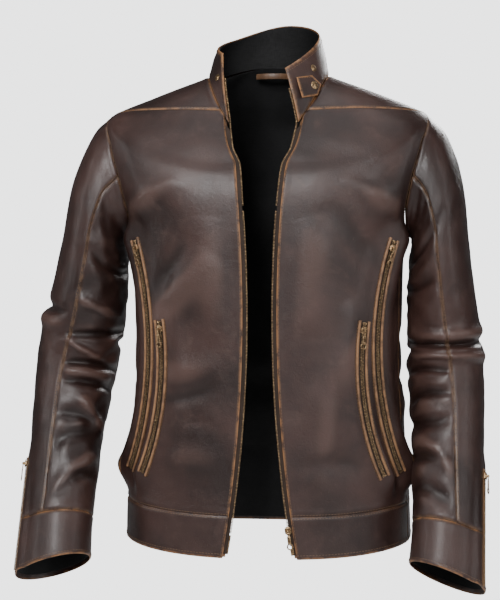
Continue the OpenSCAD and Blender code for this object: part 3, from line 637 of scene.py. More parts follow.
def blurred(field, times):
    """Softens a fold grid, which is closed round the sleeve."""
    for _ in range(times):
        padded = np.concatenate([field[:1], field, field[-1:]])
        field = 0.25 * padded[:-2] + 0.5 * padded[1:-1] + 0.25 * padded[2:]
        field = 0.25 * np.roll(field, 1, 1) + 0.5 * field + 0.25 * np.roll(field, -1, 1)
    return field


def limited(x, low, high):
    """Soft limits: x stays above low and below high."""
    return np.where(x > 0, high * np.tanh(x / high), low * np.tanh(x / low))


def fold_sleeve(sleeve):
    b, k = np.broadcast_arrays(sleeve.b, sleeve.k)
    base = sleeve.bare(b, k)
    along = sleeve.bare(b, k + 0.04) - sleeve.bare(b, np.maximum(k - 0.04, 0))
    normal = unit(np.cross(along, sleeve.bare(b + 2, k) - sleeve.bare(b - 2, k)))
    x, y = b * TURN_MM, k * ROW_MM
    folds = [
        tuple((p[0] * TURN_MM, p[1] * ROW_MM) for p in f[:3]) + f[3:] for f in SLEEVE_FOLDS[sleeve.side]
    ]
    seed = 5 if sleeve.side == "left" else 6
    height = 1.5 * fold_heights(x, y, folds, 360 * TURN_MM)
    height = height + (0.5 + underness(b, k)) * 0.7 * ripple(x, y, seed, 10, 30, 80)
    ends = smooth(0, 0.9, k) * smooth(CUFF_ROW, 8.6, k)
    offset = normal * (height * ends)[..., None]
    offset = crumpled(sleeve, base + offset, base) - base
    out = (offset * normal).sum(-1)
    aside = offset - normal * out[..., None]
    aside = aside * np.minimum(1, 9 / np.maximum(np.linalg.norm(aside, axis=-1, keepdims=True), 1e-6))
    out = limited(out, -10, 11)
    beside_zip = smooth(42, 18, np.abs((b + 200) % 360 - 180)) * smooth(7.5, 8.0, k)
    ends = smooth(0, 0.35, k) * smooth(CUFF_ROW, CUFF_ROW - 0.3, k) * (1 - beside_zip)
    sleeve.offset = (normal * out[..., None] + aside) * ends[..., None]
    sleeve.height = out * ends - blurred(out * ends, 14)


body = Body()
sleeves = {side: Sleeve(side) for side in SIDES}
for side in SIDES:
    fold_sleeve(sleeves[side])


# ---- Meshes ----
STITCH_PITCH = 4.2
STITCH_LENGTH = 3.1
STITCH_R = 0.38


def grid_faces(rows, cols, first=0, closed=False):
    """Quads of a grid; closed joins the last column to the first."""
    i, j = np.meshgrid(np.arange(rows - 1), np.arange(cols if closed else cols - 1), indexing="ij")
    p, q = first + i * cols + j, first + i * cols + (j + 1) % cols
    return np.stack([p, q, q + cols, p + cols], -1).reshape(-1, 4)


class Build:
    """Collects parts of one mesh: points in mm, faces, a material index, and the wear and ridge values."""

    def __init__(self):
        self.points, self.faces, self.index, self.wear, self.ridge = [], [], [], [], []
        self.count = 0

    def add(self, points, faces, index=0, wear=0.0, ridge=0.0):
        points = np.asarray(points, float).reshape(-1, 3)
        for group in faces if isinstance(faces, list) else [faces]:
            group = np.asarray(group) + self.count
            self.faces += group.tolist()
            self.index += [index] * len(group)
        self.points.append(points)
        self.wear.append(np.broadcast_to(np.asarray(wear, float).ravel(), (len(points),)))
        self.ridge.append(np.broadcast_to(np.asarray(ridge, float).ravel(), (len(points),)))
        self.count += len(points)
        return self

    def finish(self, name, materials, sharp=55):
        """Makes the object, in metres at the origin."""
        points = np.concatenate(self.points) * MM
        mesh = bpy.data.meshes.new("made_" + name)
        mesh.from_pydata(points.tolist(), [], self.faces)
        for material in materials:
            mesh.materials.append(material)
        mesh.polygons.foreach_set("material_index", np.array(self.index, np.int32))
        mesh.polygons.foreach_set("use_smooth", np.ones(len(self.faces), bool))
        for label, values in (("wear", self.wear), ("ridge", self.ridge)):
            layer = mesh.attributes.new(label, "FLOAT", "POINT")
            layer.data.foreach_set("value", np.concatenate(values).astype(np.float32))
        rest = mesh.attributes.new("place", "FLOAT_VECTOR", "POINT")
        rest.data.foreach_set("vector", points.astype(np.float32).ravel())
        mesh.update()
        mesh.set_sharp_from_angle(angle=math.radians(sharp))
        made = bpy.data.objects.new("made_" + name, mesh)
        bpy.context.scene.collection.objects.link(made)
        return made


def lengths(points, axis):
    """Distance along a grid's rows or columns from their start."""
    step = np.linalg.norm(np.diff(points, axis=axis), axis=2)
    start = np.zeros_like(np.take(step, [0], axis=axis))
    return np.concatenate([start, np.cumsum(step, axis=axis)], axis=axis)


def steps(length, pitch, close=(True, True)):
    """Places from 0 to 1: close together near a shaped end, and a pitch apart elsewhere."""
    near = [0, 0.6, 1.4, 2.6, 4.4, 7]
    low = near if close[0] and length > 20 else [0]
    high = near if close[1] and length > 20 else [0]
    count = max(2, round((length - low[-1] - high[-1]) / pitch) + 1)
    inner = np.linspace(low[-1], length - high[-1], count)
    outer = [length - d for d in high[:-1][::-1]]
    return np.concatenate([low[:-1], inner, outer]) / length


def seam_shape(d):
    """A sewn edge dips into its seam and swells beside it."""
    return -1.15 * np.exp(-((d / 1.5) ** 2)) + 0.5 * np.exp(-(((d - 5.5) / 3.2) ** 2))


def free_shape(d):
    """A turned edge is round."""
    return -0.75 * np.exp(-((d / 0.9) ** 2)) + 0.45 * np.exp(-(((d - 4) / 3) ** 2))


EDGE_SHAPES = {"seam": seam_shape, "free": free_shape}


def stitch_template():
    """A short thread: five-sided, with round ends, along y, of unit pitch."""
    rings = [(-0.5, 0.35), (-0.36, 1.0), (0.36, 1.0), (0.5, 0.35)]
    turn = np.radians(np.arange(5) * 72)
    points = [
        [r * STITCH_R * math.cos(t), y * STITCH_LENGTH, r * STITCH_R * math.sin(t)]
        for y, r in rings for t in turn
    ]
    faces = grid_faces(4, 5, closed=True)[:, ::-1]
    return np.array(points), faces


def resampled(line, pitch, closed=False):
    """Points a pitch apart along a line, and the directions there."""
    if closed:
        line = np.concatenate([line, line[:1]])
    far = np.concatenate([[0], np.cumsum(np.linalg.norm(np.diff(line, axis=0), axis=1))])
    count = max(2, int(far[-1] / pitch))
    at = (np.arange(count) + 0.5) * far[-1] / count
    middle = np.stack([np.interp(at, far, line[:, i]) for i in range(3)], -1)
    ahead = np.stack([np.interp(at + 0.5, far, line[:, i]) for i in range(3)], -1)
    behind = np.stack([np.interp(at - 0.5, far, line[:, i]) for i in range(3)], -1)
    return middle, unit(ahead - behind)


def copies(build, template, faces, centres, x, y, z, index=0, wear=0.0):
    """Adds one copy of a template in each of many frames. faces is one array, or a list of arrays."""
    t = template[None]
    points = t[..., :1] * x[:, None] + t[..., 1:2] * y[:, None] + t[..., 2:] * z[:, None] + centres[:, None]
    shift = (np.arange(len(centres)) * len(template))[:, None, None]
    groups = faces if isinstance(faces, list) else [faces]
    moved = [(np.asarray(g)[None] + shift).reshape(-1, np.shape(g)[1]) for g in groups]
    build.add(points, moved, index, wear)


def sew(build, line, out, closed=False, index=1):
    """Adds topstitching along a line. out gives the direction away from the leather at the line's points."""
    middle, along = resampled(line, STITCH_PITCH, closed)
    near = np.argmin(((middle[:, None] - line[None]) ** 2).sum(-1), axis=1)
    z = out[near]
    x = unit(np.cross(along, z))
    template, faces = stitch_template()
    copies(build, template, faces, middle + 0.08 * z, x, along, np.cross(x, along), index)


def at_distance(points, far, offset):
    """For each row of a grid, the point at a distance from its start."""
    found = []
    for row, d in zip(points, far):
        found.append([np.interp(offset, d, row[:, i]) for i in range(3)])
    return np.array(found)


def panel(name, at, place, thickness=LEATHER_T, pitch=(5, 5), edges=None, stitches=(), materials=None,
          depth=0.0, ridge=None, closed=False, ts=None, ss=None, worn=2.6, burnish=None):
    """A piece of leather or cloth on a surface.

    place(s, t) gives a place on the surface for s across and t up. edges says how each edge is finished:
    seam, free or none. stitches are (edge, distance) pairs.
    """
    edges = {"left": "seam", "right": "seam", "low": "seam", "top": "seam", **(edges or {})}
    probe_s, probe_t = np.meshgrid(np.linspace(0, 1, 9), np.linspace(0, 1, 25))
    probe = at(*place(probe_s, probe_t), np.zeros(probe_s.shape) - depth)
    wide = np.median(lengths(probe, 1)[:, -1])
    tall = np.median(lengths(probe, 0)[-1])
    shaped = [edges[e] != "none" for e in ("left", "right", "low", "top")]
    if ss is None:
        if closed:
            ss = np.linspace(0, 1, max(8, round(wide / pitch[0])), endpoint=False)
        else:
            ss = steps(wide, pitch[0], shaped[:2])
    if ts is None:
        ts = steps(tall, pitch[1], shaped[2:])
    s, t = np.meshgrid(ss, ts)
    p, q = place(s, t)
    flat = at(p, q, np.zeros(s.shape) - depth)
    across, up = lengths(flat, 1), lengths(flat, 0)
    far = {"left": across, "right": across[:, -1:] - across, "low": up, "top": up[-1:] - up}
    lift = np.zeros(s.shape)
    wear = np.zeros(s.shape)
    for edge, kind in edges.items():
        if kind != "none" and not (closed and edge in ("left", "right")):
            lift = lift + EDGE_SHAPES[kind](far[edge])
            wear = np.maximum(wear, (burnish or {}).get(edge, 0.8) * np.exp(-far[edge] / worn))
    outer = at(p, q, lift - depth)
    inner = at(p, q, np.minimum(lift, 0) * 0.3 - depth - thickness)
    above = at(p, q, lift - depth + 1) - outer
    rows, cols = s.shape
    faces = grid_faces(rows, cols, 0, closed)
    face_normal = np.cross(outer[:-1, 1:] - outer[:-1, :-1], outer[1:, :-1] - outer[:-1, :-1])
    flip = (face_normal * above[:-1, :-1]).sum() < 0
    if flip:
        faces = faces[:, ::-1]
    n = rows * cols
    walls = []
    index = np.arange(n).reshape(rows, cols)
    rims = [index[0], index[-1][::-1]]
    if not closed:
        rims += [index[:, -1], index[:, 0][::-1]]
    for rim in rims:
        loop = np.append(rim, rim[0]) if closed else rim
        wall = np.stack([loop[1:], loop[:-1], loop[:-1] + n, loop[1:] + n], -1)
        walls.append(wall[:, ::-1] if flip else wall)
    build = Build()
    raised = ridge(p, q) if ridge is not None else np.zeros(s.shape)
    build.add(np.concatenate([outer.reshape(-1, 3), inner.reshape(-1, 3)]),
              np.concatenate([faces, faces[:, ::-1] + n, *walls]),
              0, np.tile(wear.ravel(), 2), np.tile(raised.ravel(), 2))
    out = unit(above)
    for edge, offset in stitches:
        if edge in ("left", "right"):
            points = outer if edge == "left" else outer[:, ::-1]
            normals = out if edge == "left" else out[:, ::-1]
            line = at_distance(points, lengths(points, 1), offset)
            up_to = normals[:, min(6, cols - 1)]
            sew(build, line, up_to)
        else:
            points = outer if edge == "low" else outer[::-1]
            normals = out if edge == "low" else out[::-1]
            columns = points.transpose(1, 0, 2)
            line = at_distance(columns, lengths(columns, 1), offset)
            sew(build, line, normals[min(6, rows - 1)], closed)
    return build.finish(name, materials)


# ---- Materials ----
class Nodes:
    """Short calls for building a material's node tree."""

    def __init__(self, name):
        self.material = bpy.data.materials.new(name)
        self.material.use_nodes = True
        self.tree = self.material.node_tree
        self.shader = self.tree.nodes["Principled BSDF"]
        self.place = self.node("ShaderNodeAttribute", attribute_name="place").outputs["Vector"]

    def node(self, kind, **settings):
        made = self.tree.nodes.new(kind)
        for key, value in settings.items():
            setattr(made, key, value)
        return made

    def link(self, source, target):
        self.tree.links.new(source, target)

    def put(self, socket, value):
        if isinstance(value, bpy.types.NodeSocket):
            self.link(value, socket)
        else:
            socket.default_value = value

    def attribute(self, name):
        return self.node("ShaderNodeAttribute", attribute_name=name).outputs["Fac"]

    def noise(self, scale, detail=3, roughness=0.5, stretch=None, distortion=0.0):
        made = self.node("ShaderNodeTexNoise")
        self.link(self.stretched(stretch), made.inputs["Vector"])
        made.inputs["Scale"].default_value = scale
        made.inputs["Detail"].default_value = detail
        made.inputs["Roughness"].default_value = roughness
        made.inputs["Distortion"].default_value = distortion
        return made.outputs["Fac"]

    def cells(self, scale, feature="DISTANCE_TO_EDGE", stretch=None):
        made = self.node("ShaderNodeTexVoronoi", feature=feature)
        self.link(self.stretched(stretch), made.inputs["Vector"])
        made.inputs["Scale"].default_value = scale
        return made.outputs["Distance"]

    def stretched(self, stretch):
        if stretch is None:
            return self.place
        made = self.node("ShaderNodeVectorMath", operation="MULTIPLY")
        self.link(self.place, made.inputs[0])
        made.inputs[1].default_value = stretch
        return made.outputs[0]

    def math(self, operation, a, b=0.0, clamp=False):
        made = self.node("ShaderNodeMath", operation=operation, use_clamp=clamp)
        self.put(made.inputs[0], a)
        self.put(made.inputs[1], b)
        return made.outputs[0]

    def ramp(self, value, low, high, out_low=0.0, out_high=1.0):
        made = self.node("ShaderNodeMapRange", interpolation_type="SMOOTHSTEP")
        self.put(made.inputs["Value"], value)
        for key, number in (("From Min", low), ("From Max", high), ("To Min", out_low), ("To Max", out_high)):
            made.inputs[key].default_value = number
        return made.outputs["Result"]

    def mix(self, factor, a, b, blend="MIX"):
        made = self.node("ShaderNodeMix", data_type="RGBA", blend_type=blend)
        self.put(made.inputs["Factor"], factor)
        for socket, value in ((made.inputs[6], a), (made.inputs[7], b)):
            self.put(socket, (*value, 1) if isinstance(value, tuple) and len(value) == 3 else value)
        return made.outputs[2]

    def bump(self, height, strength, distance, under=None):
        made = self.node("ShaderNodeBump")
        made.inputs["Strength"].default_value = strength
        made.inputs["Distance"].default_value = distance
        self.link(height, made.inputs["Height"])
        if under is not None:
            self.link(under, made.inputs["Normal"])
        return made.outputs["Normal"]

    def set(self, **values):
        for key, value in values.items():
            self.put(self.shader.inputs[key.replace("_", " ")], value)


def leather_material(name, dark, middle, light, tan, wear_gain=1.0, gloss=0.0):
    """Waxed, distressed leather: cloudy dye, pale ridges, painted shade in the fold hollows, burnished edges,
    fine grain and short creases.
    """
    m = Nodes(name)
    cloud = m.noise(9, 4, 0.55)
    patches = m.noise(38, 5, 0.6, distortion=0.4)
    wear = m.attribute("wear")
    ridge = m.attribute("ridge")
    colour = m.mix(m.ramp(cloud, 0.34, 0.66), dark, middle)
    colour = m.mix(m.ramp(patches, 0.52, 0.8, 0, 0.28), colour, light)
    colour = m.mix(m.ramp(ridge, 0.15, 0.95, 0, 0.5), colour, light)
    # Painted shade: the hollows of the folds are darkened towards a deeper brown than the dye.
    colour = m.mix(m.ramp(ridge, -0.1, -0.9, 0, 0.6), colour, tuple(0.45 * c for c in dark))
    grain = m.cells(820)
    fine = m.noise(2600, 2, 0.5)
    crinkle = m.noise(150, 4, 0.62, distortion=1.2)
    rub = m.math("MULTIPLY", wear, m.ramp(m.noise(70, 3, 0.7), 0.3, 0.62, 0.35, 1.25))
    colour = m.mix(m.math("MULTIPLY", m.ramp(rub, 0.12, 0.95), 0.92 * wear_gain, clamp=True), colour, tan)
    scuffs = m.ramp(m.noise(520, 2, 0.5, stretch=(1, 1, 0.25)), 0.68, 0.8, 0, 0.3)
    colour = m.mix(scuffs, colour, light)
    m.set(Base_Color=colour)
    rough = m.ramp(patches, 0.3, 0.75, 0.35 - gloss, 0.46 - gloss)
    rough = m.math("ADD", rough, m.ramp(wear, 0.2, 1, 0, 0.06))
    m.set(Roughness=rough, Specular_IOR_Level=0.5, Coat_Weight=0.1, Coat_Roughness=0.25)
    creases = m.bump(crinkle, 0.35, 0.0011)
    pebbles = m.bump(m.ramp(grain, 0.0, 0.32), 0.4, 0.00022, creases)
    m.set(Normal=m.bump(fine, 0.12, 0.0001, pebbles))
    return m.material


def lining_material(name, colour, sheen, weave):
    """Cloth: a fine two-way weave, faint slubs and a soft sheen."""
    m = Nodes(name)
    across = m.noise(weave, 1, 0.5, stretch=(1, 1, 0.06))
    up = m.noise(weave, 1, 0.5, stretch=(0.06, 0.06, 1))
    cloth = m.math("MAXIMUM", across, up)
    shade = m.ramp(m.noise(24, 3), 0.3, 0.7, 0, 1)
    m.set(Base_Color=m.mix(shade, colour, tuple(1.5 * c for c in colour)))
    m.set(Roughness=m.ramp(cloth, 0.4, 0.7, 0.62, 0.8))
    m.set(Sheen_Weight=sheen, Sheen_Roughness=0.4, Specular_IOR_Level=0.25)
    m.set(Normal=m.bump(cloth, 0.5, 0.0002))
    return m.material


def thread_material():
    m = Nodes("waxed_thread")
    twist = m.noise(2400, 1, 0.5)
    m.set(Base_Color=m.mix(twist, (0.10, 0.055, 0.03), (0.22, 0.13, 0.07)))
    m.set(Roughness=m.ramp(twist, 0.3, 0.7, 0.5, 0.7))
    m.set(Normal=m.bump(twist, 0.5, 0.0002))
    return m.material


def brass_material(name, bright, dull):
    """Antique brass: bright where it is rubbed, brown in its hollows, with fine scratches."""
    m = Nodes(name)
    tarnish = m.noise(420, 4, 0.6)
    scratch = m.noise(1500, 2, 0.6, stretch=(1, 1, 0.15))
    colour = m.mix(m.ramp(tarnish, 0.36, 0.62), bright, dull)
    m.set(Base_Color=colour, Metallic=0.95)
    m.set(Roughness=m.ramp(scratch, 0.3, 0.7, 0.26, 0.46))
    m.set(Normal=m.bump(scratch, 0.2, 0.00008))
    return m.material


DARK = (0.0205, 0.0093, 0.0076)
MIDDLE = (0.056, 0.0275, 0.0225)
LIGHT = (0.13, 0.074, 0.060)
TAN = (0.36, 0.17, 0.068)
LEATHER = leather_material("distressed_leather", DARK, MIDDLE, LIGHT, TAN)
SLEEVE_LEATHER = leather_material("sleeve_leather", DARK, MIDDLE, LIGHT, (0.20, 0.115, 0.065), 0.8, 0.04)
TRIM = leather_material("burnished_trim", (0.10, 0.052, 0.028), (0.20, 0.105, 0.055), (0.30, 0.17, 0.09),
                        (0.40, 0.21, 0.10))
LINING = lining_material("lining_cloth", (0.010, 0.010, 0.0105), 0.1, 2200)
COLLAR_CLOTH = lining_material("collar_cloth", (0.004, 0.004, 0.0042), 0.0, 1500)
TAPE = lining_material("zip_tape_cloth", (0.030, 0.019, 0.014), 0.15, 1800)
THREAD = thread_material()
TAPE_TAN = lining_material("tan_tape_cloth", (0.17, 0.092, 0.045), 0.15, 1800)
BRASS = brass_material("antique_brass", (0.52, 0.36, 0.20), (0.20, 0.125, 0.07))
BRASS_DARK = brass_material("dark_brass", (0.22, 0.14, 0.08), (0.08, 0.05, 0.03))


def settle(piece, node, body_name="torso"):
    """Hides the CAD parts that a piece replaces, and parents the piece to its body, if it has one."""
    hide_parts(*([node] if isinstance(node, str) else node))
    if body_name:
        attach(piece, body_name)
    return piece


# ---- Body leather ----
GAP_TURN = 0.06
GAP_ROW = 0.003


def lerp(p, q, t):
    return p + (q - p) * t


def sided(place, side):
    """A place function for the wearer's left, or its mirror for the right."""
    if side == "left":
        return place

    def mirrored(s, t):
        a, v = place(s, t)
        return 180 - a, v

    return mirrored


def front_rows(t):
    return lerp(BAND_ROW + GAP_ROW, NECK_ROW - GAP_ROW, t)


def front_place(s, t):
    v = front_rows(t)
    return lerp(edge_angle(v, LEATHER_EDGE), front_side(v) - GAP_TURN, s), v


def side_place(s, t):
    a = lerp(SIDE_FRONT + GAP_TURN, SIDE_BACK - GAP_TURN, s)
    return a, lerp(BAND_ROW + GAP_ROW, arm_floor(a) - GAP_ROW, t)


def back_place(s, t):
    v = lerp(BAND_ROW + GAP_ROW, YOKE_ROW - GAP_ROW, t)
    a = back_side(v) + GAP_TURN
    return lerp(a, 180 - a, s), v


def yoke_place(s, t):
    v = lerp(YOKE_ROW + GAP_ROW, NECK_ROW - GAP_ROW, t)
    a = np.where(v < ARM_TOP, ARM_BACK * arm_share(v), yoke_seam(v)) + GAP_TURN
    return lerp(a, 180 - a, s), v


def band_front_place(s, t):
    v = lerp(0, BAND_ROW - GAP_ROW, t)
    return lerp(edge_angle(v, LEATHER_EDGE), SIDE_FRONT - GAP_TURN, s), v


def band_back_place(s, t):
    return lerp(SIDE_FRONT + GAP_TURN, 180 - SIDE_FRONT - GAP_TURN, s), lerp(0, BAND_ROW - GAP_ROW, t)


def leather_panel(name, place, edges, stitches, side=None, **more):
    made = panel(name, body.at, sided(place, side) if side else place, edges=edges, stitches=stitches,
                 materials=[LEATHER, THREAD], ridge=body.ridge, **more)
    return settle(made, name)


ARM_LINE_ROWS = (ARM_ROW - ARM_ROWS * math.cos(math.radians(30)), ARM_TOP)


def rows_through(low, high, marks, pitch_row):
    """Places from 0 to 1 for rows between low and high: finer just beside the marked rows."""
    rows = [low, high]
    rows += list(np.arange(low, high, pitch_row))
    for mark in marks:
        rows += [mark + d for d in (-0.12, -0.05, -0.02, 0, 0.02, 0.05, 0.12) if low < mark + d < high]
    for d in (0.008, 0.02, 0.04, 0.07, 0.11):
        rows += [low + d, high - d]
    rows = np.array(sorted(set(round(r, 5) for r in rows)))
    keep = np.concatenate([[True], np.diff(rows) > 0.006])
    return (rows[keep] - low) / (high - low)


for side in SIDES:
    leather_panel(
        f"front_panel_{side}", front_place, {"left": "free"}, [("left", 3), ("low", 2.6), ("right", 2.6)],
        side=side, burnish={"left": 0.9, "low": 0.3, "right": 0.8},
        ts=rows_through(BAND_ROW + GAP_ROW, NECK_ROW - GAP_ROW, ARM_LINE_ROWS, 0.065))
    leather_panel(f"side_panel_{side}", side_place, {}, [("low", 2.6)], side=side)
    leather_panel(f"hem_band_{side}", band_front_place, {"left": "free", "low": "free"},
                  [("left", 3), ("top", 2.6), ("low", 6)], side=side,
                  burnish={"left": 0.7, "low": 1, "top": 0.35})
leather_panel("back_panel", back_place, {}, [("low", 2.6), ("left", 2.6), ("right", 2.6)],
              ts=rows_through(BAND_ROW + GAP_ROW, YOKE_ROW - GAP_ROW, (ARM_ROW - 1.13,), 0.065))
leather_panel("shoulder_yoke", yoke_place, {}, [("low", 2.6), ("left", 2.6), ("right", 2.6)],
              ts=rows_through(YOKE_ROW + GAP_ROW, NECK_ROW - GAP_ROW, (ARM_TOP,), 0.05))
leather_panel("hem_band_back", band_back_place, {"low": "free"}, [("top", 2.6), ("low", 6)],
              burnish={"low": 1, "top": 0.35})


# ---- Inside of the body ----
def facing_turn(v):
    return lerp(14, 5, np.clip((v - 7.5) / 2, 0, 1))


def facing_place(s, t):
    v = lerp(0.02, NECK_ROW - 0.02, t)
    a = edge_angle(v, LEATHER_EDGE - 3)
    return lerp(a, a + facing_turn(v), s), v


def lining_place(s, t):
    v = lerp(0.1, NECK_ROW - 0.03, t)
    edge = np.where(v < ARM_TOP, -ARM_FRONT * arm_share(v), yoke_seam(v))
    return lerp(edge_angle(v, LEATHER_EDGE) + facing_turn(v), edge, s), v


def back_lining_place(s, t):
    v = lerp(0.1, NECK_ROW - 0.03, t)
    a = np.where(v < ARM_TOP, ARM_BACK * arm_share(v), yoke_seam(v))
    return lerp(a, 180 - a, s), v


PLAIN_EDGES = {"left": "none", "right": "none", "low": "none", "top": "none"}
for side in SIDES:
    settle(panel(f"front_facing_{side}", body.at, sided(facing_place, side), 1.2, (6, 7), {},
                 [("right", 2.5)], [TRIM, THREAD], 3.2, body.ridge), f"front_facing_{side}")
    settle(panel(f"front_lining_{side}", body.at, sided(lining_place, side), LINING_T, (10, 9),
                 PLAIN_EDGES, (), [LINING], 5.3), f"front_lining_{side}")
settle(panel("back_lining", body.at, back_lining_place, LINING_T, (10, 9), PLAIN_EDGES, (), [LINING], 5.3),
       "back_lining")


# ---- Collar ----
COLLAR_BASE = (float(edge_angle(NECK_ROW)), 180 - float(edge_angle(NECK_ROW)))
COLLAR_TOP = (-66, 212)
COLLAR_TOP_H = [[666], [716], [660 + 22 + COLLAR_HEIGHT], [716], [690]]
COLLAR_TOP_HALF = NECK_HALF - 12
COLLAR_BULGE = 2.5
COLLAR_TOP_FRONT = 74
COLLAR_TOP_BACK = 70


def collar_bare(s, t, depth=0.0):
    """The collar: s from its left end round the back to its right end, t from its seam up."""
    s, t = np.broadcast_arrays(np.asarray(s, float), np.asarray(t, float))
    base = body_skin(lerp(*COLLAR_BASE, s), np.full(s.shape, NECK_ROW)) + np.array([0, 0, 1.4])
    turn = np.radians(lerp(*COLLAR_TOP, s))
    deep = np.where(np.sin(turn) < 0, COLLAR_TOP_FRONT, COLLAR_TOP_BACK)
    high = spline(COLLAR_TOP_H, s * 4)[..., 0] - BODY_LENGTH
    top = np.stack([COLLAR_TOP_HALF * np.cos(turn), deep * np.sin(turn), high], -1)
    p = lerp(base, top, t[..., None])
    out = unit(p * np.array([1.0, 1, 0]))
    return p + out * (COLLAR_BULGE * np.sin(np.pi * t) - depth)[..., None]


def collar_at(s, t, lift):
    """The collar with a slight unevenness, lifted out of its surface."""
    wave = 0.5 * ripple(s * 420, t * 60, 21, 6, 50, 120) * np.sin(np.pi * np.clip(t, 0, 1))
    p = collar_bare(s, t, -wave)
    across = collar_bare(s + 0.01, t) - collar_bare(s - 0.01, t)
    up = collar_bare(s, t + 0.05) - collar_bare(s, t - 0.05)
    return p + unit(np.cross(across, up)) * np.asarray(lift)[..., None]


def collar_place(s, t):
    """The leather starts a little below its seam, so that no light comes through."""
    return s, lerp(-0.03, 1, t)


def collar_lining_place(s, t):
    return lerp(0.012, 0.988, s), lerp(-0.1, 0.97, t)


settle(panel("collar_shell", collar_at, collar_place, LEATHER_T, (5, 4.5),
             {"left": "free", "right": "free", "top": "free"},
             [("top", 6.5), ("left", 3), ("right", 3), ("low", 2.4)], [LEATHER, THREAD], 0, worn=5),
       "collar_shell")
settle(panel("collar_lining", collar_at, collar_lining_place, 1.2, (7, 7), PLAIN_EDGES, (),
             [COLLAR_CLOTH], 2.2), "collar_lining")


# ---- Sleeves ----
def sleeve_panel(name, side, first, last, top, low, **more):
    """A piece of a sleeve between two seams and two rows."""
    sleeve = sleeves[side]

    def place(s, t):
        k = lerp(low, top, t)
        return lerp(first(k), last(k), s), k

    return panel(name, sleeve.at, place, ridge=sleeve.ridge, **more)


def row_steps(low, high, shaped):
    """Places for the rows of a sleeve piece, from its lower row to its upper one."""
    return steps((low - high) * ROW_MM, 3.6, shaped)


def outer_first(k):
    return front_seam(k) + 0.25


def outer_last(k):
    return np.full(np.shape(k), BACK_SEAM - 0.25)


def under_first(k):
    return np.full(np.shape(k), BACK_SEAM + 0.25)


def under_last(k):
    return 360 + front_seam(k) - 0.25


def whole_first(k):
    return np.zeros(np.shape(k))


def whole_last(k):
    return np.full(np.shape(k), 360.0)


PANELS = {"outer": (outer_first, outer_last), "under": (under_first, under_last)}


def bend_shoulder(piece):
    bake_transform(piece)


def bend_elbow(piece):
    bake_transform(piece)


for side in SIDES:
    for part, (first, last) in PANELS.items():
        across = steps(190 if part == "outer" else 170, 4.2)
        looks = {"materials": [SLEEVE_LEATHER, THREAD], "ss": across}
        sewn = [("left", 2.4), ("right", 2.4)] if part == "outer" else []
        upper = sleeve_panel(f"upper_sleeve_{part}_{side}", side, first, last, 0.012, SPLIT_ROW,
                             edges={"low": "none"}, stitches=sewn,
                             ts=row_steps(SPLIT_ROW, 0, (False, True)), **looks)
        settle(upper, f"upper_sleeve_{part}_{side}", None)
        bend_shoulder(upper)
        lower = sleeve_panel(f"lower_sleeve_{part}_{side}", side, first, last, SPLIT_ROW, CUFF_ROW - 0.005,
                             edges={"top": "none"}, stitches=sewn,
                             ts=row_steps(CUFF_ROW, SPLIT_ROW, (True, False)), **looks)
        settle(lower, f"lower_sleeve_{part}_{side}", None)
        bend_elbow(lower)

    lined = {"thickness": LINING_T, "pitch": (6, 6), "edges": PLAIN_EDGES, "materials": [LINING],
             "closed": True, "depth": 2.6}
    upper = sleeve_panel(f"upper_sleeve_lining_{side}", side, whole_first, whole_last, 0.05, SPLIT_ROW,
                         **lined)
    settle(upper, f"upper_sleeve_lining_{side}", None)
    bend_shoulder(upper)
    lower = sleeve_panel(f"lower_sleeve_lining_{side}", side, whole_first, whole_last, SPLIT_ROW,
                         LAST_ROW - 0.1, **lined)
    settle(lower, f"lower_sleeve_lining_{side}", None)
    bend_elbow(lower)
    cuff = sleeve_panel(f"cuff_{side}", side, whole_first, whole_last, CUFF_ROW + 0.005, LAST_ROW,
                        edges={"low": "free"}, stitches=[("top", 2.6), ("low", 5)],
                        materials=[LEATHER, THREAD], pitch=(4.5, 4.5), closed=True)
    settle(cuff, f"cuff_{side}", f"lower_sleeve_{side}")


# ---- Hardware shapes ----
def rounded(x0, x1, z0, z1, r, n=2):
    """Section of a bar with rounded corners, anticlockwise."""
    corners = ((x1 - r, z0 + r, -90), (x1 - r, z1 - r, 0), (x0 + r, z1 - r, 90), (x0 + r, z0 + r, 180))
    turns = [(cx, cz, math.radians(start + 90 * i / n)) for cx, cz, start in corners for i in range(n + 1)]
    return np.array([(cx + r * math.cos(t), cz + r * math.sin(t)) for cx, cz, t in turns])


def swept(centres, x, z, section, closed=False):
    """Points and faces of a bar whose section follows frames. The section's axes are x and z."""
    rings = centres[:, None] + x[:, None] * section[None, :, :1] + z[:, None] * section[None, :, 1:]
    rows, cols = rings.shape[:2]
    faces = grid_faces(rows, cols, 0, True)
    if closed:
        j = np.arange(cols)
        last = (rows - 1) * cols
        faces = np.concatenate([faces, np.stack([last + j, last + (j + 1) % cols, (j + 1) % cols, j], -1)])
        return rings.reshape(-1, 3), faces[:, ::-1]
    ends = [np.arange(cols)[None], np.arange((rows - 1) * cols, rows * cols)[None, ::-1]]
    return rings.reshape(-1, 3), [faces[:, ::-1], *ends]


def rod(build, spots, x, section, index=0, wear=0.0, closed=False):
    """A bar along points, with its section's x axis kept as near as can be to a direction."""
    spots = np.asarray(spots, float)
    ahead = np.roll(spots, -1, 0) - np.roll(spots, 1, 0)
    if not closed:
        ahead[0], ahead[-1] = spots[1] - spots[0], spots[-1] - spots[-2]
    y = unit(ahead)
    z = unit(np.cross(np.broadcast_to(x, y.shape), y))
    build.add(*swept(spots, np.cross(y, z), z, section, closed), index, wear)


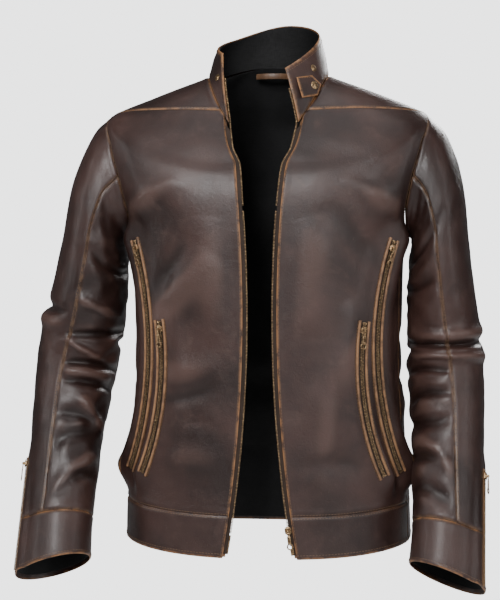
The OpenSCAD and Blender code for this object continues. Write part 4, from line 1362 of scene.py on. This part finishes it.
def plate(build, at, outline, levels, index=0):
    """A flat piece. at: centre, x, y, z. levels: inset from the outline, height and wear, from below up."""
    centre, x, y, z = at
    outline = np.array(outline, float)
    away = unit(outline - outline.mean(0))
    rings, wears = [], []
    for inset, h, wear in levels:
        p = outline - away * inset
        rings.append(centre + p[:, :1] * x + p[:, 1:] * y + h * z)
        wears.append(np.full(len(outline), wear))
    n = len(outline)
    last = (len(levels) - 1) * n
    caps = [np.arange(n)[None, ::-1], np.arange(last, last + n)[None]]
    faces = [grid_faces(len(levels), n, 0, True), *caps]
    build.add(np.concatenate(rings), faces, index, np.concatenate(wears))


def turned(build, at, profile, index=0, wear=0.0, count=24):
    """A turned piece: radius and height from below upwards, round the z axis."""
    centre, x, y, z = at
    t = np.linspace(0, 2 * math.pi, count, endpoint=False)[:, None]
    rings = [centre + r * (np.cos(t) * x + np.sin(t) * y) + h * z for r, h in profile]
    last = (len(profile) - 1) * count
    caps = [np.arange(count)[None, ::-1], np.arange(last, last + count)[None]]
    build.add(np.concatenate(rings), [grid_faces(len(profile), count, 0, True), *caps], index, wear)


def tooth(width, height, length):
    """One tooth: a small block with softened edges, standing on z = 0."""
    section = rounded(-width / 2, width / 2, 0, height, 0.35, 1)
    y = np.array([-0.5, -0.3, 0.3, 0.5]) * length
    grow = np.array([0.8, 1, 1, 0.8])
    middle = section.mean(0)
    points = np.array([(*(middle + (p - middle) * g), v) for v, g in zip(y, grow) for p in section])
    n = len(section)
    faces = [grid_faces(4, n, 0, True)[:, ::-1], np.arange(n)[None], np.arange(3 * n, 4 * n)[None, ::-1]]
    return points[:, [0, 2, 1]], faces


TOOTH_W = 2.3
TOOTH_H = 1.7
FINE_PITCH = 2.0
BOX_H = 9
PIN_H = 26
SLIDER_LENGTH = 11
SLIDER_W = 9
PIN_Z = 5.2
PULL_LENGTH = 30
SLIDER_REST = 10
METAL = (BRASS, BRASS_DARK)


def arc_bar(build, arc, section, first, last, index=0, wear=0.0):
    count = max(8, int(abs(last - first) * math.pi / 180 * arc["r"] / 4))
    centres, x, _, z = on_arc(arc, np.linspace(first, last, count))
    build.add(*swept(centres, x, z, section), index, wear)


def arc_teeth(build, arc, offset, phase, first, last, base=-0.2):
    step = arc_turn(arc, FINE_PITCH)
    phis = np.arange(first + step * (0.7 + phase), last - step * 0.5, step)
    centres, x, y, z = on_arc(arc, phis)
    points, faces = tooth(TOOTH_W, TOOTH_H, 1.1)
    copies(build, points, faces, centres + offset * x + base * z, x, y, z)


def frame_at(origin, x, y, z, dx=0.0, dy=0.0, dz=0.0):
    return (origin + dx * x + dy * y + dz * z, x, y, z)


def on_arc_frame(arc, phi):
    p, x, y, z = on_arc(arc, phi)
    return p[0], x[0], y[0], z[0]


def mirror_build(build):
    """The same mesh on the wearer's right."""
    build.points = [p * np.array([-1.0, 1, 1]) for p in build.points]
    build.faces = [f[::-1] for f in build.faces]
    return build


def slider_outline(half_w, half_l):
    """A slider seen from above: wide where the rows part, narrow where they meet."""
    t = np.radians(np.arange(0, 360, 15))
    x = half_w * signed_pow(np.cos(t), 0.6)
    y = half_l * signed_pow(np.sin(t), 0.7)
    return np.stack([x * (0.88 - 0.12 * y / half_l), y], -1)


def slider_mesh(at, tape_slot):
    """A zip slider: a domed plate, the ears of its bridge and the pin between them."""
    build = Build()
    centre, x, y, z = at
    outline = slider_outline(SLIDER_W / 2, SLIDER_LENGTH / 2)
    low = 1.5 if tape_slot else 1.9
    dome = [(0.5, low, 0), (0, low + 0.35, 0), (0, 2.3, 0), (0.5, 2.75, 0), (1.6, 2.95, 0)]
    plate(build, at, outline, dome)
    for side in (-1, 1):
        rail = rounded(side * 4.0 - 0.5, side * 4.0 + 0.5, -0.15 if not tape_slot else 1.0, low + 0.5, 0.2, 1)
        spots = centre + np.linspace(-3.4, 3.4, 5)[:, None] * y
        wide = np.broadcast_to(x, (5, 3))
        build.add(*swept(spots, wide, np.broadcast_to(z, (5, 3)), rail), 0)
        top = PIN_Z + 0.95
        ear = [(-1.6, 2.6), (1.6, 2.6), (1.3, PIN_Z), (0.7, top), (-0.7, top), (-1.3, PIN_Z)]
        spots = centre + (side * 2.1 + np.array([-0.45, 0.45]))[:, None] * x
        build.add(*swept(spots, np.broadcast_to(z, (2, 3)), np.broadcast_to(y, (2, 3)),
                         np.array(ear)[:, ::-1]), 0)
    if tape_slot:
        plate(build, at, outline, [(0.5, -2.3, 0), (0, -2.0, 0), (0, -1.5, 0), (0.3, -1.35, 0)])
        turned(build, frame_at(centre, x, y, z, 2.6), [(1.0, -1.4), (1.0, 1.7)], count=10)
    turned(build, (centre + PIN_Z * z - 2.5 * x, y, z, x), [(0.75, 0), (0.75, 5)], 1, count=12)
    return build


def pull_mesh(at):
    """A long pull: a barrel round the pin, a waist, a framed tag and an open ring."""
    build = Build()
    centre, x, y, z = at
    barrel = [(1.3, 0), (1.65, 0.3), (1.65, 2.1), (1.3, 2.4)]
    turned(build, (centre + PIN_Z * z - 1.2 * x, y, z, x), barrel, count=16)
    base = centre + PIN_Z * z
    level = (base, x, y, z)
    waist = [(-1.2, 1.0), (1.2, 1.0), (1.0, 3.5), (1.3, 6.6), (-1.3, 6.6), (-1.0, 3.5)]
    plate(build, level, waist, [(0.2, -0.62, 0), (0, -0.4, 0), (0, 0.4, 0), (0.2, 0.62, 0)])
    tag = [(-1.4, 6.2), (1.4, 6.2), (2.4, 7.6), (2.4, 17.4), (-2.4, 17.4), (-2.4, 7.6)]
    plate(build, level, tag, [(0.3, -0.55, 0), (0, -0.3, 0), (0, 0.3, 0), (0.3, 0.55, 0)])
    rib = [(-0.7, 8.4), (0.7, 8.4), (0.7, 15.4), (-0.7, 15.4)]
    plate(build, level, rib, [(0, 0.4, 0), (0.25, 0.85, 0)], 1)
    t = np.radians(np.arange(0, 360, 15))[:, None]
    ring = base + (PULL_LENGTH - 9) * y + 3.65 * (np.cos(t) * x + np.sin(t) * y)
    rod(build, ring, z, rounded(-0.65, 0.65, -0.85, 0.85, 0.4), closed=True)
    return build


def place_metal(build, name, body_name, mirrored=False, materials=METAL, node=None):
    made = (mirror_build(build) if mirrored else build).finish(name, materials)
    return settle(made, node or name, body_name)


# ---- Pocket zips ----
def pocket_arcs():
    for side in SIDES:
        for place, arc in (("chest", CHEST_ZIP), ("hand", HAND_ZIP)):
            yield side, place, arc


for side, place, arc in pocket_arcs():
    right = side == "right"
    first, last = arc["from"], arc["to"]
    over = arc_turn(arc, 3)
    welts = Build()
    for low_x, high_x in ((5.0, 8.5), (-8.5, -5.0)):
        arc_bar(welts, arc, rounded(low_x, high_x, -1.9, 1.2, 0.95, 4), first - over, last + over, 0, 0.55)
    for offset in (4.4, -4.4):
        centres, x, y, z = on_arc(arc, np.linspace(first - over, last + over, 60))
        sew(welts, centres + offset * 2.15 * x - 0.85 * z, z)
    place_metal(welts, f"pocket_welts_{side}_{place}", "torso", right, (TRIM, THREAD),
                "pocket_welts")
    tapes = Build()
    for low_x, high_x in ((0.3, 4.9), (-4.9, -0.3)):
        arc_bar(tapes, arc, rounded(low_x, high_x, -0.95, -0.4, 0.15, 1), first, last)
    place_metal(tapes, f"pocket_tapes_{side}_{place}", "torso", right, (TAPE,),
                "pocket_zip_tapes")
    teeth = Build()
    arc_teeth(teeth, arc, -1.3, 0, first, last)
    arc_teeth(teeth, arc, 1.3, 0.5, first, last)
    for phi in (first, last):
        stop = rounded(-3, 3, -0.2, 1.6, 0.4, 2)
        arc_bar(teeth, arc, stop, phi - arc_turn(arc, 1), phi + arc_turn(arc, 1))
    place_metal(teeth, f"pocket_teeth_{side}_{place}", "torso", right, node="pocket_zip_teeth")
    at = on_arc_frame(arc, first + arc_turn(arc, SLIDER_REST))
    place_metal(slider_mesh(at, False), f"{place}_zip_slider_{side}", f"{place}_zip_slider_{side}", right)
    place_metal(pull_mesh(at), f"{place}_zip_pull_{side}", f"{place}_zip_pull_{side}", right)


# ---- Front zip ----
def front_tape_place(s, t):
    v = lerp(0.1, NECK_ROW - 0.1, t)
    return edge_angle(v, lerp(lerp(1.2, -1.2, smooth(9.2, 9.8, v)), 11, s)), v


def upper_front(u):
    """Middle of the left teeth above the front arc: up the neck, then up the collar's front end."""
    if u <= 1:
        v = lerp(5.66, NECK_ROW, u)
        a = edge_angle(v)
        return body_skin(a, np.array(v)) - 2.8 * body_normal(a, np.array(v))
    return collar_bare(0, (u - 1) * 0.66, 0.8)


def right_collar_front(u):
    return collar_bare(1, (u - 1) * 0.66, 0.8) * np.array([-1, 1, 1])


def front_teeth_build(side):
    build = Build()
    step = arc_turn(FRONT_ZIP, FINE_PITCH)
    ends = BOX_H + 3 if side == "left" else PIN_H + 2
    stop = FRONT_ZIP["to"] - arc_turn(FRONT_ZIP, ends)
    points, faces = tooth(TOOTH_W, TOOTH_H, 1.1)
    centres, x, y, z = on_arc(FRONT_ZIP, np.arange(FRONT_ZIP["from"], stop, step))
    copies(build, points, faces, centres - 0.5 * TOOTH_H * z, x, y, z)
    us = np.linspace(0.02, 1.94, 90)
    path = [upper_front(u) if u <= 1 or side == "left" else right_collar_front(u) for u in us]
    path = np.array(path, float).reshape(-1, 3)
    y = -unit(np.gradient(path, axis=0))
    x = unit(np.cross(y, np.array([0, -1.0, 0])))
    shift = (TOOTH_W / 2 + 1) * np.clip(8 * us - 6.6, 0, 1)
    centres, y = resampled(path + shift[:, None] * x, FINE_PITCH)
    x = unit(np.cross(-y, np.array([0, -1.0, 0])))
    z = np.cross(x, -y)
    y = -y
    copies(build, points, faces, centres - 0.5 * TOOTH_H * z, x, y, z)
    return build


for side in SIDES:
    settle(panel(f"front_zip_tape_{side}", body.at, sided(front_tape_place, side), 0.5, (2.4, 6),
                 PLAIN_EDGES, (), [TAPE], 2.3), f"front_zip_tape_{side}")
    place_metal(front_teeth_build(side), f"front_zip_teeth_{side}", "torso", side == "right")


def box_and_pin():
    build = Build()
    centre, x, y, z = on_arc_frame(FRONT_ZIP, FRONT_ZIP["to"])
    spots = centre + np.array([-BOX_H, -BOX_H + 0.5, -0.5, 0])[:, None] * y
    block = rounded(-3.2, 1.2, -2.1, 1.6, 0.7, 3)
    build.add(*swept(spots, np.broadcast_to(x, (4, 3)), np.broadcast_to(z, (4, 3)), block), 0)
    spots = centre + np.array([-PIN_H, -0.1])[:, None] * y
    pin = swept(spots, np.broadcast_to(x, (2, 3)), np.broadcast_to(z, (2, 3)), rounded(-1, 1, -1, 1, 0.5, 2))
    build.add(pin[0] * np.array([-1.0, 1, 1]), [np.asarray(f)[:, ::-1] for f in pin[1]], 0)
    return build


place_metal(box_and_pin(), "front_zip_box_and_pin", "torso")
front_slider_at = on_arc_frame(FRONT_ZIP, FRONT_ZIP["to"] - arc_turn(FRONT_ZIP, 34))
place_metal(slider_mesh(front_slider_at, True), "front_zip_slider", "front_zip_slider")
place_metal(pull_mesh(front_slider_at), "front_zip_pull", "front_zip_pull")


# ---- Collar tab, studs and hanger loop ----
def collar_frame(s, t, lift):
    up = unit(collar_bare(s, t + 0.1) - collar_bare(s, t - 0.1))
    out = unit(np.cross(collar_bare(s + 0.01, t) - collar_bare(s - 0.01, t), up))
    return collar_bare(s, t, -lift), np.cross(up, out), up, out


def tab_frame():
    foot = collar_bare(0.02, 0.52, -3.6)
    up = unit(collar_bare(0.02, 0.77) - collar_bare(0.02, 0.27))
    far = collar_bare(0.135, 0.58, -3.6)
    out = unit(np.cross(far - foot, up))
    return foot, np.cross(up, out), up, out


TAB_OUTLINE = [(0.7, -14.6), (27.6, -14.6), (29, -13.6), (38.9, -1.3), (39.3, 0), (38.9, 1.3), (29, 13.6),
               (27.6, 14.6), (0.7, 14.6), (0.5, 0)]
tab = Build()
TAB_AT = tab_frame()
plate(tab, TAB_AT, TAB_OUTLINE, [(0.6, 0, 1), (0, 0.5, 1), (0, 1.2, 1), (0.7, 1.75, 1), (1.6, 1.85, 0.7),
                                 (3.2, 1.62, 0.25), (5, 1.75, 0.05), (9, 1.9, 0)])
tab_line = np.array(TAB_OUTLINE)
tab_line = tab_line - unit(tab_line - tab_line.mean(0)) * 3.2
tab_line = TAB_AT[0] + tab_line[:, :1] * TAB_AT[1] + tab_line[:, 1:] * TAB_AT[2] + 1.72 * TAB_AT[3]
sew(tab, tab_line, np.broadcast_to(TAB_AT[3], tab_line.shape), closed=True)
settle(tab.finish("collar_tab", (LEATHER, THREAD)), "collar_tab", "collar_tab")
snap = Build()
turned(snap, frame_at(*TAB_AT, 27), [(1.9, 0.2), (1.9, 2), (5.6, 2), (5.9, 2.3), (5.4, 2.9), (4.2, 3.4),
                                     (3.9, 3.3), (3.5, 3.45), (1.8, 3.75), (0.2, 3.8)])
place_metal(snap, "collar_tab_snap", "collar_tab")
studs = Build()
STUD = [(4.9, 0), (5, 0.3), (4.6, 0.6), (2.2, 0.6), (2, 0.8), (2, 1.3), (1.7, 1.45)]
for s, t in ((0.098, 0.57), (0.955, 0.5)):
    turned(studs, collar_frame(s, t, 0.4), STUD)
place_metal(studs, "snap_studs", "torso")

LOOP_R = 40
LOOP_RISE = 14


def hanger():
    build = Build()
    top = body_skin(np.array(90.0), np.array(9.65)) - 6.1 * body_normal(np.array(90.0), np.array(9.65))
    t = np.radians(np.linspace(-128, -52, 24))[:, None]
    out = np.concatenate([np.cos(t), np.sin(t), 0 * t], 1)
    spots = np.array([0, top[1] + LOOP_R - LOOP_RISE, top[2] - 8]) + LOOP_R * out
    z = np.broadcast_to(np.array([0, 0, 1.0]), out.shape)
    build.add(*swept(spots, out, z, rounded(-0.6, 0.6, 0, 8, 0.5, 2)), 0, 0.3)
    for height in (1.2, 6.8):
        sew(build, spots - 0.62 * out + height * z, -out)
    return build


settle(hanger().finish("hanger_loop", (TRIM, THREAD)), "hanger_loop")


# ---- Pocket bags ----
def chest_bag_place(s, t):
    return lerp(-62, -27, s), lerp(3.05, 4.7, t)


def hand_bag_place(s, t):
    return lerp(-64, -36, s), lerp(1.2, 2.95, t)


for side in SIDES:
    for label, place in (("chest", chest_bag_place), ("hand", hand_bag_place)):
        bag = panel(f"pocket_bag_{label}_{side}", body.at, sided(place, side), 1.6, (8, 8),
                    {e: "free" for e in PLAIN_EDGES}, (), [LINING], 2.7)
        settle(bag, "pocket_bags")


# ---- Cuff zips ----
for side in SIDES:
    origin, x, y, z, long = sleeves[side].zip_frame
    right = side == "right"
    tape = Build()
    spots = origin + np.linspace(0, long, 12)[:, None] * y
    wide, high = np.broadcast_to(x, spots.shape), np.broadcast_to(z, spots.shape)
    for low_x, high_x in ((0.3, 4.3), (-4.3, -0.3)):
        tape.add(*swept(spots, wide, high, rounded(low_x, high_x, -1.2, -0.4, 0.2, 1)), 0)
    points, faces = tooth(TOOTH_W, TOOTH_H, 1.1)
    for m in (0, 1):
        ys = np.arange(1.5 + m, long - 1, FINE_PITCH)
        centres = origin + ys[:, None] * y + (1.3 if m else -1.3) * x - 0.2 * z
        turn = [np.broadcast_to(d, centres.shape) for d in (x, y, z)]
        copies(tape, points, faces, centres, *turn, index=1)
    place_metal(tape, f"cuff_zip_{side}", f"lower_sleeve_{side}", right, (TAPE_TAN, BRASS))
    at = frame_at(origin, x, y, z, dy=10)
    place_metal(slider_mesh(at, False), f"cuff_zip_slider_{side}", f"cuff_zip_slider_{side}", right)
    place_metal(pull_mesh(at), f"cuff_zip_pull_{side}", f"cuff_zip_pull_{side}", right)


# ---- Studio ----
FLOOR_Z = -1.05
CAMERA_TURN = 6
CAMERA_RISE = 3
CAMERA_FAR = 2.2
CAMERA_LOOK = Vector((0, 0, -0.315))
CAMERA_LENS = 92.96
ROOM = (0.88, 0.885, 0.89)
ROOM_STRENGTH = 3.4


def pale_material():
    """A pale floor that looks as bright as the room."""
    made = bpy.data.materials.new("pale_floor")
    made.use_nodes = True
    nodes, links = made.node_tree.nodes, made.node_tree.links
    nodes["Principled BSDF"].inputs["Base Color"].default_value = (0.6, 0.6, 0.6, 1)
    glow = nodes.new("ShaderNodeEmission")
    glow.inputs["Color"].default_value = (*ROOM, 1)
    glow.inputs["Strength"].default_value = ROOM_STRENGTH
    path = nodes.new("ShaderNodeLightPath")
    mix = nodes.new("ShaderNodeMixShader")
    links.new(path.outputs["Is Camera Ray"], mix.inputs[0])
    links.new(nodes["Principled BSDF"].outputs[0], mix.inputs[1])
    links.new(glow.outputs[0], mix.inputs[2])
    links.new(mix.outputs[0], nodes["Material Output"].inputs["Surface"])
    return made


def add_floor():
    mesh = bpy.data.meshes.new("floor")
    r = 12
    corners = [(-r, -r, FLOOR_Z), (r, -r, FLOOR_Z), (r, r, FLOOR_Z), (-r, r, FLOOR_Z)]
    mesh.from_pydata(corners, [], [(0, 1, 2, 3)])
    mesh.materials.append(pale_material())
    floor = bpy.data.objects.new("floor", mesh)
    bpy.context.scene.collection.objects.link(floor)
    floor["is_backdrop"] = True


def add_world():
    """A pale room that the camera sees, and that lights the object less than it looks."""
    world = bpy.data.worlds.new("studio")
    bpy.context.scene.world = world
    world.use_nodes = True
    nodes, links = world.node_tree.nodes, world.node_tree.links
    light = nodes["Background"]
    light.inputs["Color"].default_value = (0.86, 0.88, 0.9, 1)
    light.inputs["Strength"].default_value = 0.10
    seen = nodes.new("ShaderNodeBackground")
    seen.inputs["Color"].default_value = (*ROOM, 1)
    seen.inputs["Strength"].default_value = ROOM_STRENGTH
    path = nodes.new("ShaderNodeLightPath")
    mix = nodes.new("ShaderNodeMixShader")
    links.new(path.outputs["Is Camera Ray"], mix.inputs[0])
    links.new(light.outputs[0], mix.inputs[1])
    links.new(seen.outputs[0], mix.inputs[2])
    links.new(mix.outputs[0], nodes["World Output"].inputs["Surface"])


def add_light(name, place, target, size, watts, colour=(1, 1, 1)):
    data = bpy.data.lights.new(name, "AREA")
    data.shape = "RECTANGLE"
    data.size, data.size_y = size
    data.energy = watts
    data.color = colour
    lamp = bpy.data.objects.new(name, data)
    lamp.location = place
    lamp.rotation_euler = (Vector(target) - Vector(place)).to_track_quat("-Z", "Y").to_euler()
    bpy.context.scene.collection.objects.link(lamp)


def add_camera():
    turn, rise = math.radians(CAMERA_TURN), math.radians(CAMERA_RISE)
    away = Vector((math.sin(turn) * math.cos(rise), -math.cos(turn) * math.cos(rise), math.sin(rise)))
    data = bpy.data.cameras.new("camera")
    data.lens = CAMERA_LENS
    data.sensor_width = 36
    data.shift_x = -19 / 600
    camera = bpy.data.objects.new("camera", data)
    camera.location = CAMERA_LOOK + away * CAMERA_FAR
    camera.rotation_euler = (-away).to_track_quat("-Z", "Y").to_euler()
    bpy.context.scene.collection.objects.link(camera)
    bpy.context.scene.camera = camera


add_floor()
add_world()
add_camera()
MIDDLE_POINT = (0, 0, -0.35)
add_light("key", (-0.5, -2.5, 1.1), MIDDLE_POINT, (0.9, 0.9), 62)
add_light("fill", (1.3, -2.3, 0.2), MIDDLE_POINT, (0.6, 1.2), 16)
add_light("side_left", (2.1, -0.7, 0.3), MIDDLE_POINT, (0.25, 1.6), 9)
add_light("side_right", (-2.1, -0.7, 0.3), MIDDLE_POINT, (0.25, 1.6), 9)
add_light("top", (0, -0.3, 1.9), MIDDLE_POINT, (1.2, 0.6), 10)
add_light("back", (0.9, 2.3, 0.9), MIDDLE_POINT, (1.0, 1.0), 40)

low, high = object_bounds()
